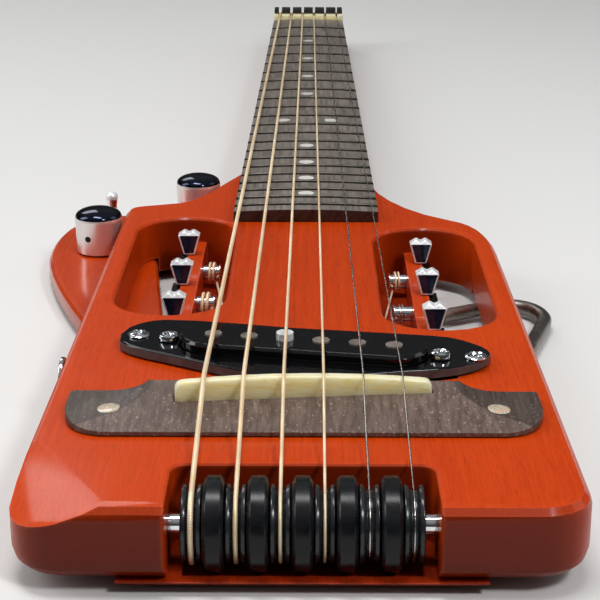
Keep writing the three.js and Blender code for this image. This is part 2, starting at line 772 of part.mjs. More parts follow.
// The wing's control cavity: a straight-sided trough under the knobs and the toggle, open at the back.
function controlTrough(grow, from, to) {
  const half = cavityHalfWidth + grow;
  const [x0, y0] = [-volumeX, volumeY];
  const [x1, y1] = [-toggleX, toggleY];
  const [x2, y2] = [-toneX, toneY];
  const shape = new THREE.Shape();
  shape.moveTo(x0 - half, y0 - half * 0.6);
  shape.lineTo(x0 - half * 0.6, y0 - half);
  shape.lineTo(x0 + half * 0.6, y0 - half);
  shape.lineTo(x0 + half, y0 - half * 0.6);
  shape.lineTo(x1 + half, y1 - half * 0.4);
  shape.lineTo(x2, y2 - half);
  shape.lineTo(x2 + half, y2 - half * 0.6);
  shape.lineTo(x2 + half, y2 + half * 0.4);
  shape.lineTo(x2 + half * 0.6, y2 + half * 0.8);
  shape.lineTo(x2 - half, y2 + half * 0.8);
  shape.lineTo(x1 - half * 0.7, y1 + half * 0.9);
  shape.lineTo(x1 - half, y1 + half * 0.6);
  return standing(shape, from, to);
}

const coverPlate = 1.2;
const coverLedge = 2.2;

function bassWing() {
  let wing = solid(standing(wingOutline(), wingLift, wingFaceZ, wingRound, 6, 3));
  wing = wing.subtract(solid(controlTrough(0, -overrun, wingFaceZ - wingSkin)));
  wing = wing.subtract(solid(controlTrough(coverLedge + gap, -overrun, wingLift + coverPlate + gap)));
  const holes = [
    [-volumeX, volumeY, bushingRadius],
    [-toneX, toneY, bushingRadius],
    [-toggleX, toggleY, toggleBushingRadius],
  ];
  for (const [x, y, radius] of holes) {
    const hole = disc(radius + gap, 12, x, y);
    wing = wing.subtract(solid(standing(hole, wingFaceZ - wingSkin - gap, wingFaceZ + overrun)));
  }
  return wing;
}

const controlCover = () => controlTrough(coverLedge, wingLift, wingLift + coverPlate);

// ---- Back panel ----

const panelHalfTop = 43.4;
const panelHalfFoot = 34;
const panelHead = 184;
const panelTailInset = 0.4;
const panelTailBevel = 6;
const rollerRelief = 1.7;
const reliefHalfLength = 6.5;

function backPanel() {
  const top = panelThickness - gap;
  const section = polygon([[-panelHalfFoot, 0], [panelHalfFoot, 0], [panelHalfTop, top], [-panelHalfTop, top]]);
  let panel = solid(alongY(section, -tailReach + panelTailInset, panelHead));
  const slope = panelHalfTop - panelHalfFoot;
  const headCut = polygon([
    [panelHead - slope, -gap],
    [panelHead + overrun, -gap],
    [panelHead + overrun, top + gap],
    [panelHead + gap, top + gap],
  ]);
  panel = panel.subtract(solid(alongX(headCut, -panelHalfTop - gap, panelHalfTop + gap)));
  const tailCut = polygon([
    [-tailReach - overrun, -gap],
    [-tailReach + panelTailBevel, -gap],
    [-tailReach + panelTailInset, top + gap],
    [-tailReach - overrun, top + gap],
  ]);
  panel = panel.subtract(solid(alongX(tailCut, -panelHalfTop - gap, panelHalfTop + gap)));
  const reliefHalf = rollerX(5) + rollerWidth / 2;
  const relief = rectangle(-reliefHalf, axleY - reliefHalfLength, reliefHalf, axleY + reliefHalfLength);
  return panel.subtract(solid(standing(relief, top - rollerRelief, top + overrun)));
}

// ---- Fingerboard ----

function boardRing(t, lift, half) {
  const ring = [onNeck(t, -boardThickness + gap, -half), onNeck(t, -boardThickness + gap, half)];
  const steps = 6;
  for (let i = 0; i <= steps; i++) {
    const share = 1 - (2 * i) / steps;
    ring.push(onNeck(t, lift - boardArchHeight * share * share, half * share));
  }
  return ring;
}

// The board and its frets are one skin: each fret is a low ridge across it.
function fingerboard() {
  const rings = [boardRing(boardEnd, 0, boardHalf(boardEnd))];
  for (let n = fretCount; n > 0; n--) {
    const t = fretPlace(n);
    const half = boardHalf(t);
    rings.push(boardRing(t + fretHalfFoot, 0, half));
    rings.push(boardRing(t + fretHalfCrown, fretHeight, half));
    rings.push(boardRing(t - fretHalfCrown, fretHeight, half));
    rings.push(boardRing(t - fretHalfFoot, 0, half));
  }
  rings.push(boardRing(gap, 0, boardHalf(0)));
  return skin(rings);
}

// An outline across the neck, with one notch for each string, running along Y.
function combed(halfWidth, low, high, notchLow, notchHalves, pitch, from, to) {
  const shape = new THREE.Shape();
  shape.moveTo(-halfWidth, low);
  shape.lineTo(halfWidth, low);
  shape.lineTo(halfWidth, high);
  for (let string = 5; string >= 0; string--) {
    const x = spread(pitch, string);
    const half = notchHalves[string];
    shape.lineTo(x + half, high);
    shape.lineTo(x + half, notchLow);
    shape.lineTo(x - half, notchLow);
    shape.lineTo(x - half, high);
  }
  shape.lineTo(-halfWidth, high);
  return alongY(shape, from, to);
}

const nutZ = onNeck(0, 0).z;
const nutY = onNeck(0, 0).y;
const neckTopAtNut = nutZ - boardThickness;

function nut() {
  const halves = stringRadii.map((radius) => radius + gap);
  return combed(
    boardHalfAtNut, neckTopAtNut + gap, nutZ + nutAboveBoard, nutZ + nutSlotAboveBoard,
    halves, nutStringPitch, nutY + gap, nutY + nutThickness,
  );
}

const headBlockLength = 9.4;
const headBlockAbove = 5.2; // above the fingerboard's plane
const headBlockStart = nutY + nutThickness + gap;

function headBlock() {
  const halves = stringRadii.map((radius) => radius + gap);
  return combed(
    boardHalfAtNut - gap, neckTopAtNut + gap, nutZ + headBlockAbove, nutZ - neckSideWall,
    halves, nutStringPitch, headBlockStart, headBlockStart + headBlockLength,
  );
}

function trussRod() {
  const high = -boardThickness;
  return skin([trussHeadEnd, trussTailEnd].map((t) => [
    onNeck(t, high, trussHalfWidth),
    onNeck(t, high - trussDepth, trussHalfWidth),
    onNeck(t, high - trussDepth, -trussHalfWidth),
    onNeck(t, high, -trussHalfWidth),
  ]));
}

// ---- Bridge ----

const rampAt = (y) => bridgeFrontHeight
  + ((bridgeBackHeight - bridgeFrontHeight) * (y + bridgeTail)) / (bridgeTail + bridgeHead);
const crownAt = (x) => {
  const share = x / (2.5 * saddleStringPitch);
  return saddleCrownHeight - saddleTiltHeight * share - saddleArchHeight * share * share;
};
const saddleAngle = Math.atan(saddleSlant / (2.5 * saddleStringPitch));
const saddleY = (x) => -saddleSetBack + x * Math.tan(saddleAngle);
const saddleSeatZ = faceZ + rampAt(-saddleSetBack) - saddleSlotDepth;

function onSaddle(geometry) {
  return geometry.rotateZ(saddleAngle).translate(0, -saddleSetBack, 0);
}

function bridgeOutline() {
  const [end, back] = [bridgeHalfLength, bridgeHead];
  const round = bridgeCornerRadius;
  const pull = (end - bridgeFrontHalf) * cornerPullShare;
  const shape = new THREE.Shape();
  shape.moveTo(-bridgeFrontHalf, -bridgeTail);
  shape.lineTo(bridgeFrontHalf, -bridgeTail);
  shape.quadraticCurveTo(end - pull, -bridgeTail + pull, end, -bridgeSideTail);
  shape.lineTo(end, back - round);
  shape.quadraticCurveTo(end, back, end - round, back);
  shape.lineTo(-end + round, back);
  shape.quadraticCurveTo(-end, back, -end, back - round);
  shape.lineTo(-end, -bridgeSideTail);
  shape.quadraticCurveTo(-end + pull, -bridgeTail + pull, -bridgeFrontHalf, -bridgeTail);
  return shape;
}

function bridge() {
  const floor = faceZ + gap;
  const blank = solid(standing(bridgeOutline(), floor, faceZ + bridgeBackHeight + overrun, 0, 6));
  const ramp = polygon([
    [-bridgeTail - gap, floor - gap],
    [bridgeHead + gap, floor - gap],
    [bridgeHead + gap, faceZ + bridgeBackHeight],
    [-bridgeTail - gap, faceZ + bridgeFrontHeight],
  ]);
  const front = new THREE.Shape();
  const wing = faceZ + bridgeWingHeight;
  const peak = faceZ + bridgeBackHeight + overrun;
  front.moveTo(-bridgeHalfLength - gap, floor - gap);
  front.lineTo(bridgeHalfLength + gap, floor - gap);
  front.lineTo(bridgeHalfLength + gap, wing);
  front.lineTo(bridgeScoopEnd, wing);
  front.quadraticCurveTo(bridgeBlockHalf, wing, bridgeBlockHalf - bridgeFrontHeight, peak);
  front.lineTo(-bridgeBlockHalf + bridgeFrontHeight, peak);
  front.quadraticCurveTo(-bridgeBlockHalf, wing, -bridgeScoopEnd, wing);
  front.lineTo(-bridgeHalfLength - gap, wing);
  const slotHalf = saddleThickness / 2 + gap;
  const slotLong = saddleHalfLength + gap;
  const slot = standing(
    rectangle(-slotLong, -slotHalf, slotLong, slotHalf), saddleSeatZ - gap - piezoHeight - gap, peak,
  );
  return blank
    .intersect(solid(alongX(ramp, -bridgeHalfLength - overrun, bridgeHalfLength + overrun)))
    .intersect(solid(alongY(front, -bridgeTail - overrun, bridgeHead + overrun)))
    .subtract(solid(onSaddle(slot)));
}

function saddle() {
  const shape = new THREE.Shape();
  const low = saddleSeatZ;
  shape.moveTo(-saddleHalfLength, low);
  shape.lineTo(saddleHalfLength, low);
  const steps = 8;
  const flat = saddleHalfLength - saddleEndRound;
  const [trebleTop, bassTop] = [faceZ + crownAt(flat), faceZ + crownAt(-flat)];
  shape.lineTo(saddleHalfLength, trebleTop - saddleEndRound);
  shape.quadraticCurveTo(saddleHalfLength, trebleTop, flat, trebleTop);
  for (let i = 1; i <= steps; i++) {
    const x = flat - ((flat + flat) * i) / steps;
    shape.lineTo(x, faceZ + crownAt(x));
  }
  shape.quadraticCurveTo(-saddleHalfLength, bassTop, -saddleHalfLength, bassTop - saddleEndRound);
  return onSaddle(alongY(shape, -saddleThickness / 2, saddleThickness / 2, saddleEdge, 4, 2));
}

function piezoStrip() {
  const half = saddleThickness / 2;
  const shape = rectangle(-saddleHalfLength, -half, saddleHalfLength, half);
  return onSaddle(standing(shape, saddleSeatZ - gap - piezoHeight, saddleSeatZ - gap));
}

// ---- Pickup ----

const ringShares = [
  [-0.83, 0.95], [-0.55, 1], [-0.08, 0.94], [0.62, 1], [0.76, 0.95], [0.87, 0.74], [0.945, 0.52],
  [0.98, 0.28], [0.955, 0], [0.895, -0.19], [0.77, -0.41], [0.49, -0.65], [0.34, -0.8], [0.17, -0.95],
  [0, -1], [-0.15, -0.99], [-0.27, -0.9], [-0.5, -0.72], [-0.72, -0.535], [-0.9, -0.38], [-1, -0.16],
  [-1, 0.38], [-0.93, 0.76],
];

const ringOutlineSteps = 36;

// The pickup's base plate, seen from the face: narrower at its two ends, where the height screws go.
function plateShape(grow) {
  const marks = [
    [basePlateHalfLength, basePlateEarHalf],
    [basePlateShoulder, coverHalfWidth - gap],
    [-basePlateShoulder, coverHalfWidth - gap],
    [-basePlateHalfLength, basePlateEarHalf],
  ];
  const wider = marks.map(([x, y]) => [x + Math.sign(x) * grow, y + grow]);
  const other = wider.map(([x, y]) => [x, -y]).reverse();
  return polygon([...wider, ...other].map(([x, y]) => [x, y - coverNearShift]));
}

const stringOnPickup = (string) => spread(saddleStringPitch, string);

function pickupRing() {
  const marks = ringShares.map(([u, v]) => at(u * ringHalfLength, v * (v > 0 ? ringFarReach : ringNearReach), 0));
  const line = new THREE.CatmullRomCurve3(marks, true);
  const shape = polygon(line.getPoints(ringOutlineSteps).slice(1).map((p) => [p.x, p.y]));
  const half = coverHalfLength + gap;
  const wide = coverHalfWidth + gap;
  const window = roundedRectangle(-half, -wide - coverNearShift, half, wide - coverNearShift, wide - gap);
  shape.holes.push(new THREE.Path(window.getPoints(4).slice(0, -1)));
  for (const side of [-1, 1]) {
    const hole = disc(heightScrewRadius + gap, 8, side * heightScrewX, -coverNearShift);
    shape.holes.push(new THREE.Path(hole.getPoints()));
  }
  return onPickup(standing(shape, faceZ + gap, faceZ + ringThickness, ringEdge, 4, 1));
}

function coverShape(inset) {
  const half = coverHalfLength - inset;
  const wide = coverHalfWidth - inset;
  return roundedRectangle(-half, -wide - coverNearShift, half, wide - coverNearShift, wide - gap);
}

function pickupCover() {
  const top = faceZ + coverTop;
  let cover = solid(standing(coverShape(0), faceZ - coverDeep, top, coverEdge, 4, 1));
  cover = cover.subtract(solid(standing(coverShape(coverWall), faceZ - coverDeep - overrun, top - coverWall, 0, 4)));
  for (let string = 0; string < 6; string++) {
    const hole = disc(poleRadius + gap, 10, stringOnPickup(string), -coverNearShift);
    cover = cover.subtract(solid(standing(hole, top - coverWall - gap, top + overrun)));
  }
  return onPickup(geometryOf(cover));
}

function pickupBobbin() {
  const top = faceZ + coverTop;
  const bobbinTop = top - coverWall - gap;
  const plateTop = faceZ - coverDeep - gap;
  const low = plateTop - basePlateThickness;
  let bobbin = solid(standing(plateShape(0), low, plateTop));
  const coil = roundedRectangle(
    -bobbinHalfLength, -bobbinHalfWidth - coverNearShift, bobbinHalfLength, bobbinHalfWidth - coverNearShift,
    bobbinHalfWidth - gap,
  );
  bobbin = bobbin.add(solid(standing(coil, plateTop - gap, bobbinTop, 0, 4)));
  for (let string = 0; string < 6; string++) {
    const raised = string === 2 ? poleRaised : 0;
    const pole = disc(poleRadius, 10, stringOnPickup(string), -coverNearShift);
    bobbin = bobbin.add(solid(standing(pole, bobbinTop - gap, top + poleAbove + raised)));
  }
  for (const side of [-1, 1]) {
    const hole = disc(heightScrewRadius + gap, 8, side * heightScrewX, -coverNearShift);
    bobbin = bobbin.subtract(solid(standing(hole, low - gap, plateTop + gap)));
  }
  return onPickup(geometryOf(bobbin));
}

function heightScrew(side) {
  const seat = faceZ + ringThickness + gap;
  const low = faceZ - coverDeep - basePlateThickness - 2 * gap;
  const profile = [
    [0, low],
    [heightScrewRadius, low],
    [heightScrewRadius, seat],
    [heightScrewHead, seat],
    [heightScrewHead, seat + heightScrewHeadHeight * 0.5],
    [heightScrewHead * 0.7, seat + heightScrewHeadHeight],
    [0, seat + heightScrewHeadHeight],
  ];
  return onPickup(turned(profile, 12).translate(side * heightScrewX, -coverNearShift, 0));
}

// ---- Tail rollers ----

const rollerAxleOrigin = [0, axleY, axleZ];

function rollerAxle() {
  return alongX(disc(axleRadius, 12), -slotHalfWidth - axleSeat, slotHalfWidth + axleSeat);
}

function stringRoller() {
  const half = rollerWidth / 2;
  const bore = axleRadius + runGap;
  return turnedOnX([
    [bore, -half],
    [rollerFlangeRadius - rollerFlangeEdge, -half],
    [rollerFlangeRadius, -half + rollerFlangeEdge],
    [rollerGrooveRadius, -rollerGrooveHalf],
    [rollerGrooveRadius, rollerGrooveHalf],
    [rollerFlangeRadius, half - rollerFlangeEdge],
    [rollerFlangeRadius - rollerFlangeEdge, half],
    [bore, half],
    [bore, -half],
  ], 18);
}

function spacerDisc() {
  const half = (rollerStringPitch - rollerWidth) / 2 - runGap;
  const bore = axleRadius + gap;
  return turnedOnX([
    [bore, -half],
    [spacerRadius - spacerChamfer, -half],
    [spacerRadius, -half + spacerChamfer],
    [spacerRadius, half - spacerChamfer],
    [spacerRadius - spacerChamfer, half],
    [bore, half],
    [bore, -half],
  ], 18);
}

// ---- Strings ----

// Points of an arc about the X axis, from one angle to another, with X moving evenly.
function arcOnX(centre, radius, from, to, xFrom, xTo, steps) {
  const points = [];
  for (let i = 0; i <= steps; i++) {
    const angle = from + ((to - from) * i) / steps;
    const x = xFrom + ((xTo - xFrom) * i) / steps;
    points.push(at(x, centre.y + radius * Math.cos(angle), centre.z + radius * Math.sin(angle)));
  }
  return points;
}

const ballRadius = 1.9;
const ballLength = 3.4;
const windLoopSteps = 24;
const leastTurnGaps = [];

// The string from its ball end over nut, saddle and roller, under the body and round its post.
function stringPiece(string) {
  const radius = stringRadii[string];
  const tuner = tuners[string];
  const nutX = spread(nutStringPitch, string);
  const ballY = headBlockStart + headBlockLength + 2 * gap + ballLength;
  const overNut = nutZ + nutSlotAboveBoard + stringClearance + radius;
  const ballZ = nutZ - neckSideWall + gap + ballRadius;
  const saddleX = spread(saddleStringPitch, string);
  const overSaddle = at(saddleX, saddleY(saddleX), faceZ + crownAt(saddleX) + stringClearance + radius);

  const points = [
    at(nutX, ballY, ballZ), at(nutX, ballY - ballLength, ballZ), at(nutX, ballY - ballLength - gap, ballZ),
    at(nutX, headBlockStart + headBlockLength / 2, ballZ),
    at(nutX, nutY + nutThickness, overNut), at(nutX, nutY, overNut),
    overSaddle,
  ];
  const radii = [ballRadius, ballRadius, radius, radius, radius, radius, radius];

  // over the roller: leave the saddle on the roller's tangent, turn round the tail side, leave below
  const axle = at(0, axleY, axleZ);
  const run = grooveRun(string);
  const toSaddle = new THREE.Vector2(overSaddle.y - axle.y, overSaddle.z - axle.z);
  const startAngle = toSaddle.angle() + Math.acos(run / toSaddle.length());
  const under = underRun(string);
  const endAngle = under.slope + (3 * Math.PI) / 2;
  const x = rollerX(string);
  points.push(...arcOnX(axle, run, startAngle, endAngle, x, x, 9));

  // round the post, one unbroken tube
  const pitch = 2 * radius + windGap;
  const post = at(0, postY(tuner), postZ);
  const windFrom = under.slope - Math.PI / 2;
  const turns = windTurns * 2 * Math.PI;
  const xFrom = under.to.x;
  const xTo = xFrom + tuner.side * pitch * windTurns;
  const winding = arcOnX(post, postRun(string), windFrom, windFrom + turns, xFrom, xTo, windTurns * windLoopSteps);
  points.push(...winding);
  leastTurnGaps.push(leastTurnGap(winding, radius));
  while (radii.length < points.length) radii.push(radius);
  return bar(points, radii, 6);
}

// The least distance between the skins of neighbouring turns.
function leastTurnGap(points, radius) {
  let least = Infinity;
  for (let i = 0; i < points.length; i++) {
    for (let j = i + windLoopSteps / 2; j < points.length; j++) {
      least = Math.min(least, points[i].distanceTo(points[j]) - 2 * radius);
    }
  }
  return least;
}

// ---- Tuners ----

// A tulip button with a two-lobed top, its stem and its worm, on the Z axis.
const buttonShoulderShare = 0.8;
const buttonLobeShare = 0.12;

function tunerButton() {
  const lobe = buttonHeight * buttonLobeShare;
  const shoulder = buttonHeight * buttonShoulderShare;
  const shape = new THREE.Shape();
  shape.moveTo(-buttonFootHalf, 0);
  shape.lineTo(buttonFootHalf, 0);
  shape.lineTo(buttonTopHalf, shoulder);
  shape.quadraticCurveTo(buttonTopHalf, buttonHeight + lobe, 0, buttonHeight - lobe);
  shape.quadraticCurveTo(-buttonTopHalf, buttonHeight + lobe, -buttonTopHalf, shoulder);
  const head = alongY(shape, -buttonHalfDepth, buttonHalfDepth, buttonEdge, 4, 1);
  const stemLow = wormTopZ - gap - buttonFootZ;
  const wormLow = wormFootZ - buttonFootZ;
  const stem = standing(disc(stemRadius, 10), stemLow, buttonEdge);
  const worm = standing(disc(wormRadius, 10), wormLow, stemLow + gap);
  return solid(head).add(solid(stem)).add(solid(worm));
}

// The worm gear and the post that it turns, on the X axis, from the gear inward to the post's end.
function stringPost(string) {
  const collar = postEndRadius;
  const gearHalf = gearWidth / 2;
  const inner = gearMiddleX - postInnerX;
  const profile = [
    [0, -gearHalf],
    [gearRadius - gearWidth / gearTeeth, -gearHalf],
    [gearRadius, -gearHalf + gearWidth / gearTeeth],
    [gearRadius, gearHalf - gearWidth / gearTeeth],
    [gearRadius - gearWidth / gearTeeth, gearHalf],
    [postRadius, gearHalf],
    [postRadius, inner - postEndLength],
    [collar, inner - postEndLength + gap],
    [collar, inner],
    [0, inner],
  ];
  const post = turnedOnX(profile, 12);
  return tuners[string].side > 0 ? post.rotateZ(Math.PI) : post;
}

// The housing in the rib's pocket: open above for the stem and inward for the post.
function tunerHousing(string) {
  const tuner = tuners[string];
  const { tail, head } = housingEnds(tuner);
  const [x0, x1] = spanOn(tuner.side, housingInner, housingOuter);
  const block = standing(rectangle(x0, tail, x1, head), housingFootZ, housingTopZ);
  const [g0, g1] = spanOn(tuner.side, gearMiddleX - gearWidth / 2 - runGap, gearMiddleX + gearWidth / 2 + runGap);
  const gearRoom = alongX(disc(gearRadius + runGap, 14, postY(tuner), postZ), g0, g1);
  const wormRoom = standing(disc(wormRadius + runGap, 10, tuner.x, tuner.y), wormFootZ - gap, wormTopZ + gap);
  const stemHole = standing(disc(stemRadius + runGap, 8, tuner.x, tuner.y), wormTopZ, housingTopZ + overrun);
  const [p0, p1] = spanOn(tuner.side, housingInner - overrun, gearMiddleX);
  const postHole = alongX(disc(postRadius + runGap, 10, postY(tuner), postZ), p0, p1);
  return [gearRoom, wormRoom, stemHole, postHole].reduce(
    (housing, cut) => housing.subtract(solid(cut)), solid(block),
  );
}

// ---- Controls ----

const knobFootZ = wingFaceZ + knobLift;
const potTopZ = wingFaceZ - wingSkin - gap;
const potBoreRadius = shaftRadius + runGap;

function knob() {
  let body = solid(turned([
    [0, 0],
    [knobFootRadius, 0],
    [knobRimRadius, knobRimHeight],
    [knobRimRadius * 0.9, knobRimHeight + (knobHeight - knobRimHeight) * 0.48],
    [knobRimRadius * 0.6, knobRimHeight + (knobHeight - knobRimHeight) * 0.85],
    [0, knobHeight],
  ], 24));
  const recess = standing(disc(knobRecessRadius, 16), -overrun, knobRecessDepth);
  const shaft = standing(disc(shaftRadius, 10), potTopZ - knobFootZ, knobRecessDepth + gap);
  return body.subtract(solid(recess)).add(solid(shaft));
}

function pot(x, y) {
  const can = standing(disc(potRadius, 16, x, y), potTopZ - potHeight, potTopZ);
  const bushing = standing(disc(bushingRadius, 12, x, y), potTopZ - gap, wingFaceZ + bushingAbove);
  const nutRing = standing(disc(nutRadius, 6, x, y), wingFaceZ + gap, wingFaceZ + gap + nutHeight);
  const bore = standing(disc(potBoreRadius, 10, x, y), potTopZ - runGap, wingFaceZ + overrun);
  return solid(can).add(solid(bushing)).add(solid(nutRing)).subtract(solid(bore));
}

function toggleSwitch() {
  const [x, y] = [-toggleX, toggleY];
  const box = rectangle(x - toggleBoxHalfX, y - toggleBoxHalfY, x + toggleBoxHalfX, y + toggleBoxHalfY);
  const body = standing(box, potTopZ - potHeight, potTopZ);
  const bushing = standing(disc(toggleBushingRadius, 12, x, y), potTopZ - gap, wingFaceZ + toggleBushingAbove);
  const nutRing = standing(disc(nutRadius - gap, 6, x, y), wingFaceZ + gap, wingFaceZ + gap + nutHeight);
  const bore = standing(disc(leverRadius + 2 * runGap, 10, x, y), leverPivotZ - leverBelow - runGap, faceZ);
  return solid(body).add(solid(bushing)).add(solid(nutRing)).subtract(solid(bore));
}

const leverPivotZ = wingFaceZ + toggleBushingAbove;

// The lever about its pivot, with the rounded tip up.
function toggleLever() {
  const top = leverAbove;
  return turned([
    [0, -leverBelow],
    [leverRadius * 0.8, -leverBelow],
    [leverRadius, 0],
    [leverTipRadius, top - leverTipRadius],
    [leverTipRadius * 0.8, top - leverTipRadius * 0.35],
    [0, top],
  ], 12);
}

function outputJack() {
  const sideStart = -tailReach + tailCornerRadius;
  const share = (jackY - sideStart) / (bassSideEndY - sideStart);
  const outer = bodyShift - THREE.MathUtils.lerp(halfWidthTail, halfWidthHead, share) - gap;
  const inner = -basePlateHalfLength - jackClearance;
  const z = faceZ - jackDrop;
  const barrel = alongX(disc(jackBarrelRadius, 12, jackY, z), outer - gap, inner);
  const flange = alongX(disc(jackFlangeRadius, 16, jackY, z), outer - jackFlange, outer);
  const bore = alongX(disc(jackBore, 12, jackY, z), outer - overrun, inner - housingWall);
  return solid(barrel).add(solid(flange)).subtract(solid(bore));
}

// ---- Lap rest ----

const restZ = restFloorZ - gap - restRodRadius;

function lapRest() {
  const corners = [
    at(restPivotX, restPivotY, restFloorZ + restPinRise),
    at(restPivotX, restPivotY, restZ),
    at(restKneeX, restKneeY, restZ),
    at(restElbowX, restElbowY, restZ),
    at(restLegX, restLegY, restZ),
  ];
  const first = bent(corners.slice(0, 3), 2 * restRodRadius, 3);
  const second = bent([first[first.length - 2], ...corners.slice(2)], restBendRadius, 5);
  const path = [...first.slice(0, -1), ...second.slice(1)];
  const origin = at(restPivotX, restPivotY, 0);
  return bar(path.map((p) => p.sub(origin)), path.map(() => restRodRadius), 8);
}

// ---- The guitar ----

const mahogany = { color: 0xa5431f, roughness: 0.42, metalness: 0 };
const darkWood = { color: 0x33221b, roughness: 0.6, metalness: 0 };
const bone = { color: 0xf0e6cf, roughness: 0.4, metalness: 0 };
const blackPlastic = { color: 0x151517, roughness: 0.3, metalness: 0 };
const chrome = { color: 0xd9dde2, roughness: 0.12, metalness: 1 };
const steel = { color: 0xa9adb2, roughness: 0.35, metalness: 1 };
const bronze = { color: 0xc9a06a, roughness: 0.4, metalness: 1 };
const blackMetal = { color: 0x26272a, roughness: 0.35, metalness: 1 };
const satinMetal = { color: 0x8d8a86, roughness: 0.5, metalness: 1 };

const group = new THREE.Group();

// Names a piece and puts it in its place.
function add(name, shape, look, place = [0, 0, 0]) {
  const geometry = shape.isBufferGeometry ? shape : geometryOf(shape);
  const mesh = new THREE.Mesh(geometry, new THREE.MeshStandardMaterial(look));
  mesh.name = name;
  mesh.position.set(...place);
  group.add(mesh);
}

add("neck_body", neckBody(), mahogany);
add("bass_wing", bassWing(), mahogany);
add("back_panel", backPanel(), mahogany);
add("control_cover", controlCover(), blackPlastic);
add("fingerboard", fingerboard(), darkWood);
add("truss_rod", trussRod(), steel);
add("nut", nut(), bone);
add("head_block", headBlock(), blackPlastic);
add("bridge", bridge(), darkWood);
add("saddle", saddle(), bone);
add("piezo_strip", piezoStrip(), steel);
add("pickup_ring", pickupRing(), blackPlastic);
add("pickup_cover", pickupCover(), blackPlastic);
add("pickup_bobbin", pickupBobbin(), steel);
add("height_screw_bass", heightScrew(-1), chrome);
add("height_screw_treble", heightScrew(1), chrome);
add("roller_axle", rollerAxle(), chrome, rollerAxleOrigin);
for (let i = 0; i < 5; i++) {
  const x = (rollerX(i) + rollerX(i + 1)) / 2;
  add(`spacer_disc_${i + 1}`, spacerDisc(), blackPlastic, [x, axleY, axleZ]);
}
for (let string = 0; string < 6; string++) {
  const tuner = tuners[string];
  const number = string + 1;
  const wound = string < 4;
  add(`string_roller_${number}`, stringRoller(), blackPlastic, [rollerX(string), axleY, axleZ]);
  add(`string_${number}`, stringPiece(string), wound ? bronze : steel);
  add(`tuner_housing_${number}`, tunerHousing(string), blackMetal);
  add(`tuner_button_${number}`, tunerButton(), chrome, [tuner.x, tuner.y, buttonFootZ]);
  add(`string_post_${number}`, stringPost(string), chrome, [tuner.x, postY(tuner), postZ]);
}
add("volume_pot", pot(-volumeX, volumeY), steel);
add("tone_pot", pot(-toneX, toneY), steel);
add("volume_knob", knob(), chrome, [-volumeX, volumeY, knobFootZ]);
add("tone_knob", knob(), chrome, [-toneX, toneY, knobFootZ]);
add("toggle_switch", toggleSwitch(), steel);
add("toggle_lever", toggleLever(), chrome, [-toggleX, toggleY, leverPivotZ]);
add("output_jack", outputJack(), chrome);
add("lap_rest", lapRest(), satinMetal, [restPivotX, restPivotY, 0]);

const least = Math.min(...leastTurnGaps);
console.log(`least gap between two turns of a string on its post: ${least.toFixed(2)} mm`);

export default group;
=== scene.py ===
# %% [markdown]
# # Dressing a travel guitar
# The guitar arrives as plain solids, already in their places and in metres. This script gives them
# their finishes and adds what a plain solid lacks: fret wires, inlays, screws, windings and soft edges.
# X points to the treble side, Y from the tail to the head, Z out of the playing face.

# %% Load the guitar
import math

import bpy
from mathutils import Matrix, Vector


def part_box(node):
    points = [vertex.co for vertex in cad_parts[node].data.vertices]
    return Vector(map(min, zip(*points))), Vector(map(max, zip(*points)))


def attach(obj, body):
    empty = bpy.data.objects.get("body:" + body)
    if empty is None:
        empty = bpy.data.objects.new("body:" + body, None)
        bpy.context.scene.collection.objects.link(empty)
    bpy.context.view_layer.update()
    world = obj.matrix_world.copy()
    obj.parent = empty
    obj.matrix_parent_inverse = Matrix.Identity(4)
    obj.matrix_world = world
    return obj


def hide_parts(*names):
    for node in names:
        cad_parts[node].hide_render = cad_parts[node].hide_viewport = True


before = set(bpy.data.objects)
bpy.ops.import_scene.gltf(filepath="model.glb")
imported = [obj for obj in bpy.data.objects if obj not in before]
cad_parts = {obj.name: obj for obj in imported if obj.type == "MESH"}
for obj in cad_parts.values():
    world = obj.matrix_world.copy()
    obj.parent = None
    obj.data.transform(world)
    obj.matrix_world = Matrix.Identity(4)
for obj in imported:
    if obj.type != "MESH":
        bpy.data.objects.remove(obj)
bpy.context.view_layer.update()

MM = 0.001
bpy.context.scene.view_settings.view_transform = "Standard"

# %% [markdown]
# ## The camera
# The photograph looks along the strings from just behind the tail. Its camera was found from the
# frets and the rollers: 19 degrees down, close to the tail, with a long lens. A matrix sets it
# exactly, where three angles typed by hand would drift.

# %% Camera
pitch = math.radians(19.007)
yaw = math.radians(0.368)
roll = math.radians(0.048)
ahead = Vector((-math.sin(yaw) * math.cos(pitch), math.cos(yaw) * math.cos(pitch), -math.sin(pitch)))
level = Vector((math.cos(yaw), math.sin(yaw), 0))
upward = level.cross(ahead)
right = math.cos(roll) * level + math.sin(roll) * upward
above = math.cos(roll) * upward - math.sin(roll) * level
lens = bpy.data.cameras.new("photo_camera")
lens.sensor_width = 36
lens.lens = 97.2
lens.clip_start = 0.01
camera = bpy.data.objects.new("photo_camera", lens)
eye = (1.5, -387.72, 185.11)
camera.matrix_world = Matrix((
    (right.x, above.x, -ahead.x, eye[0] * MM),
    (right.y, above.y, -ahead.y, eye[1] * MM),
    (right.z, above.z, -ahead.z, eye[2] * MM),
    (0, 0, 0, 1),
))
bpy.context.scene.collection.objects.link(camera)
bpy.context.scene.camera = camera
print("camera at", [round(c, 4) for c in camera.matrix_world.translation])

# %% [markdown]
# ## The room
# A pale floor and a pale world, as in a product studio. A large soft lamp on the left gives the long
# highlights along the wing and the bevel. One overhead gives the pale rims of the cutouts. A small
# round one in front makes the round dots that polished chrome shows, and one behind the bass side
# glances off the arm bevel. The world is darker near the horizon, so the flat top, which mirrors
# that part, keeps its deep colour. The floor looks pale, but it throws less light back up, so the
# end faces stay in shade as in the photograph. Far out, the floor fades into the same pale tone as
# the sky behind it, so no dark horizon shows in any view.

# %% Floor, world and lamps


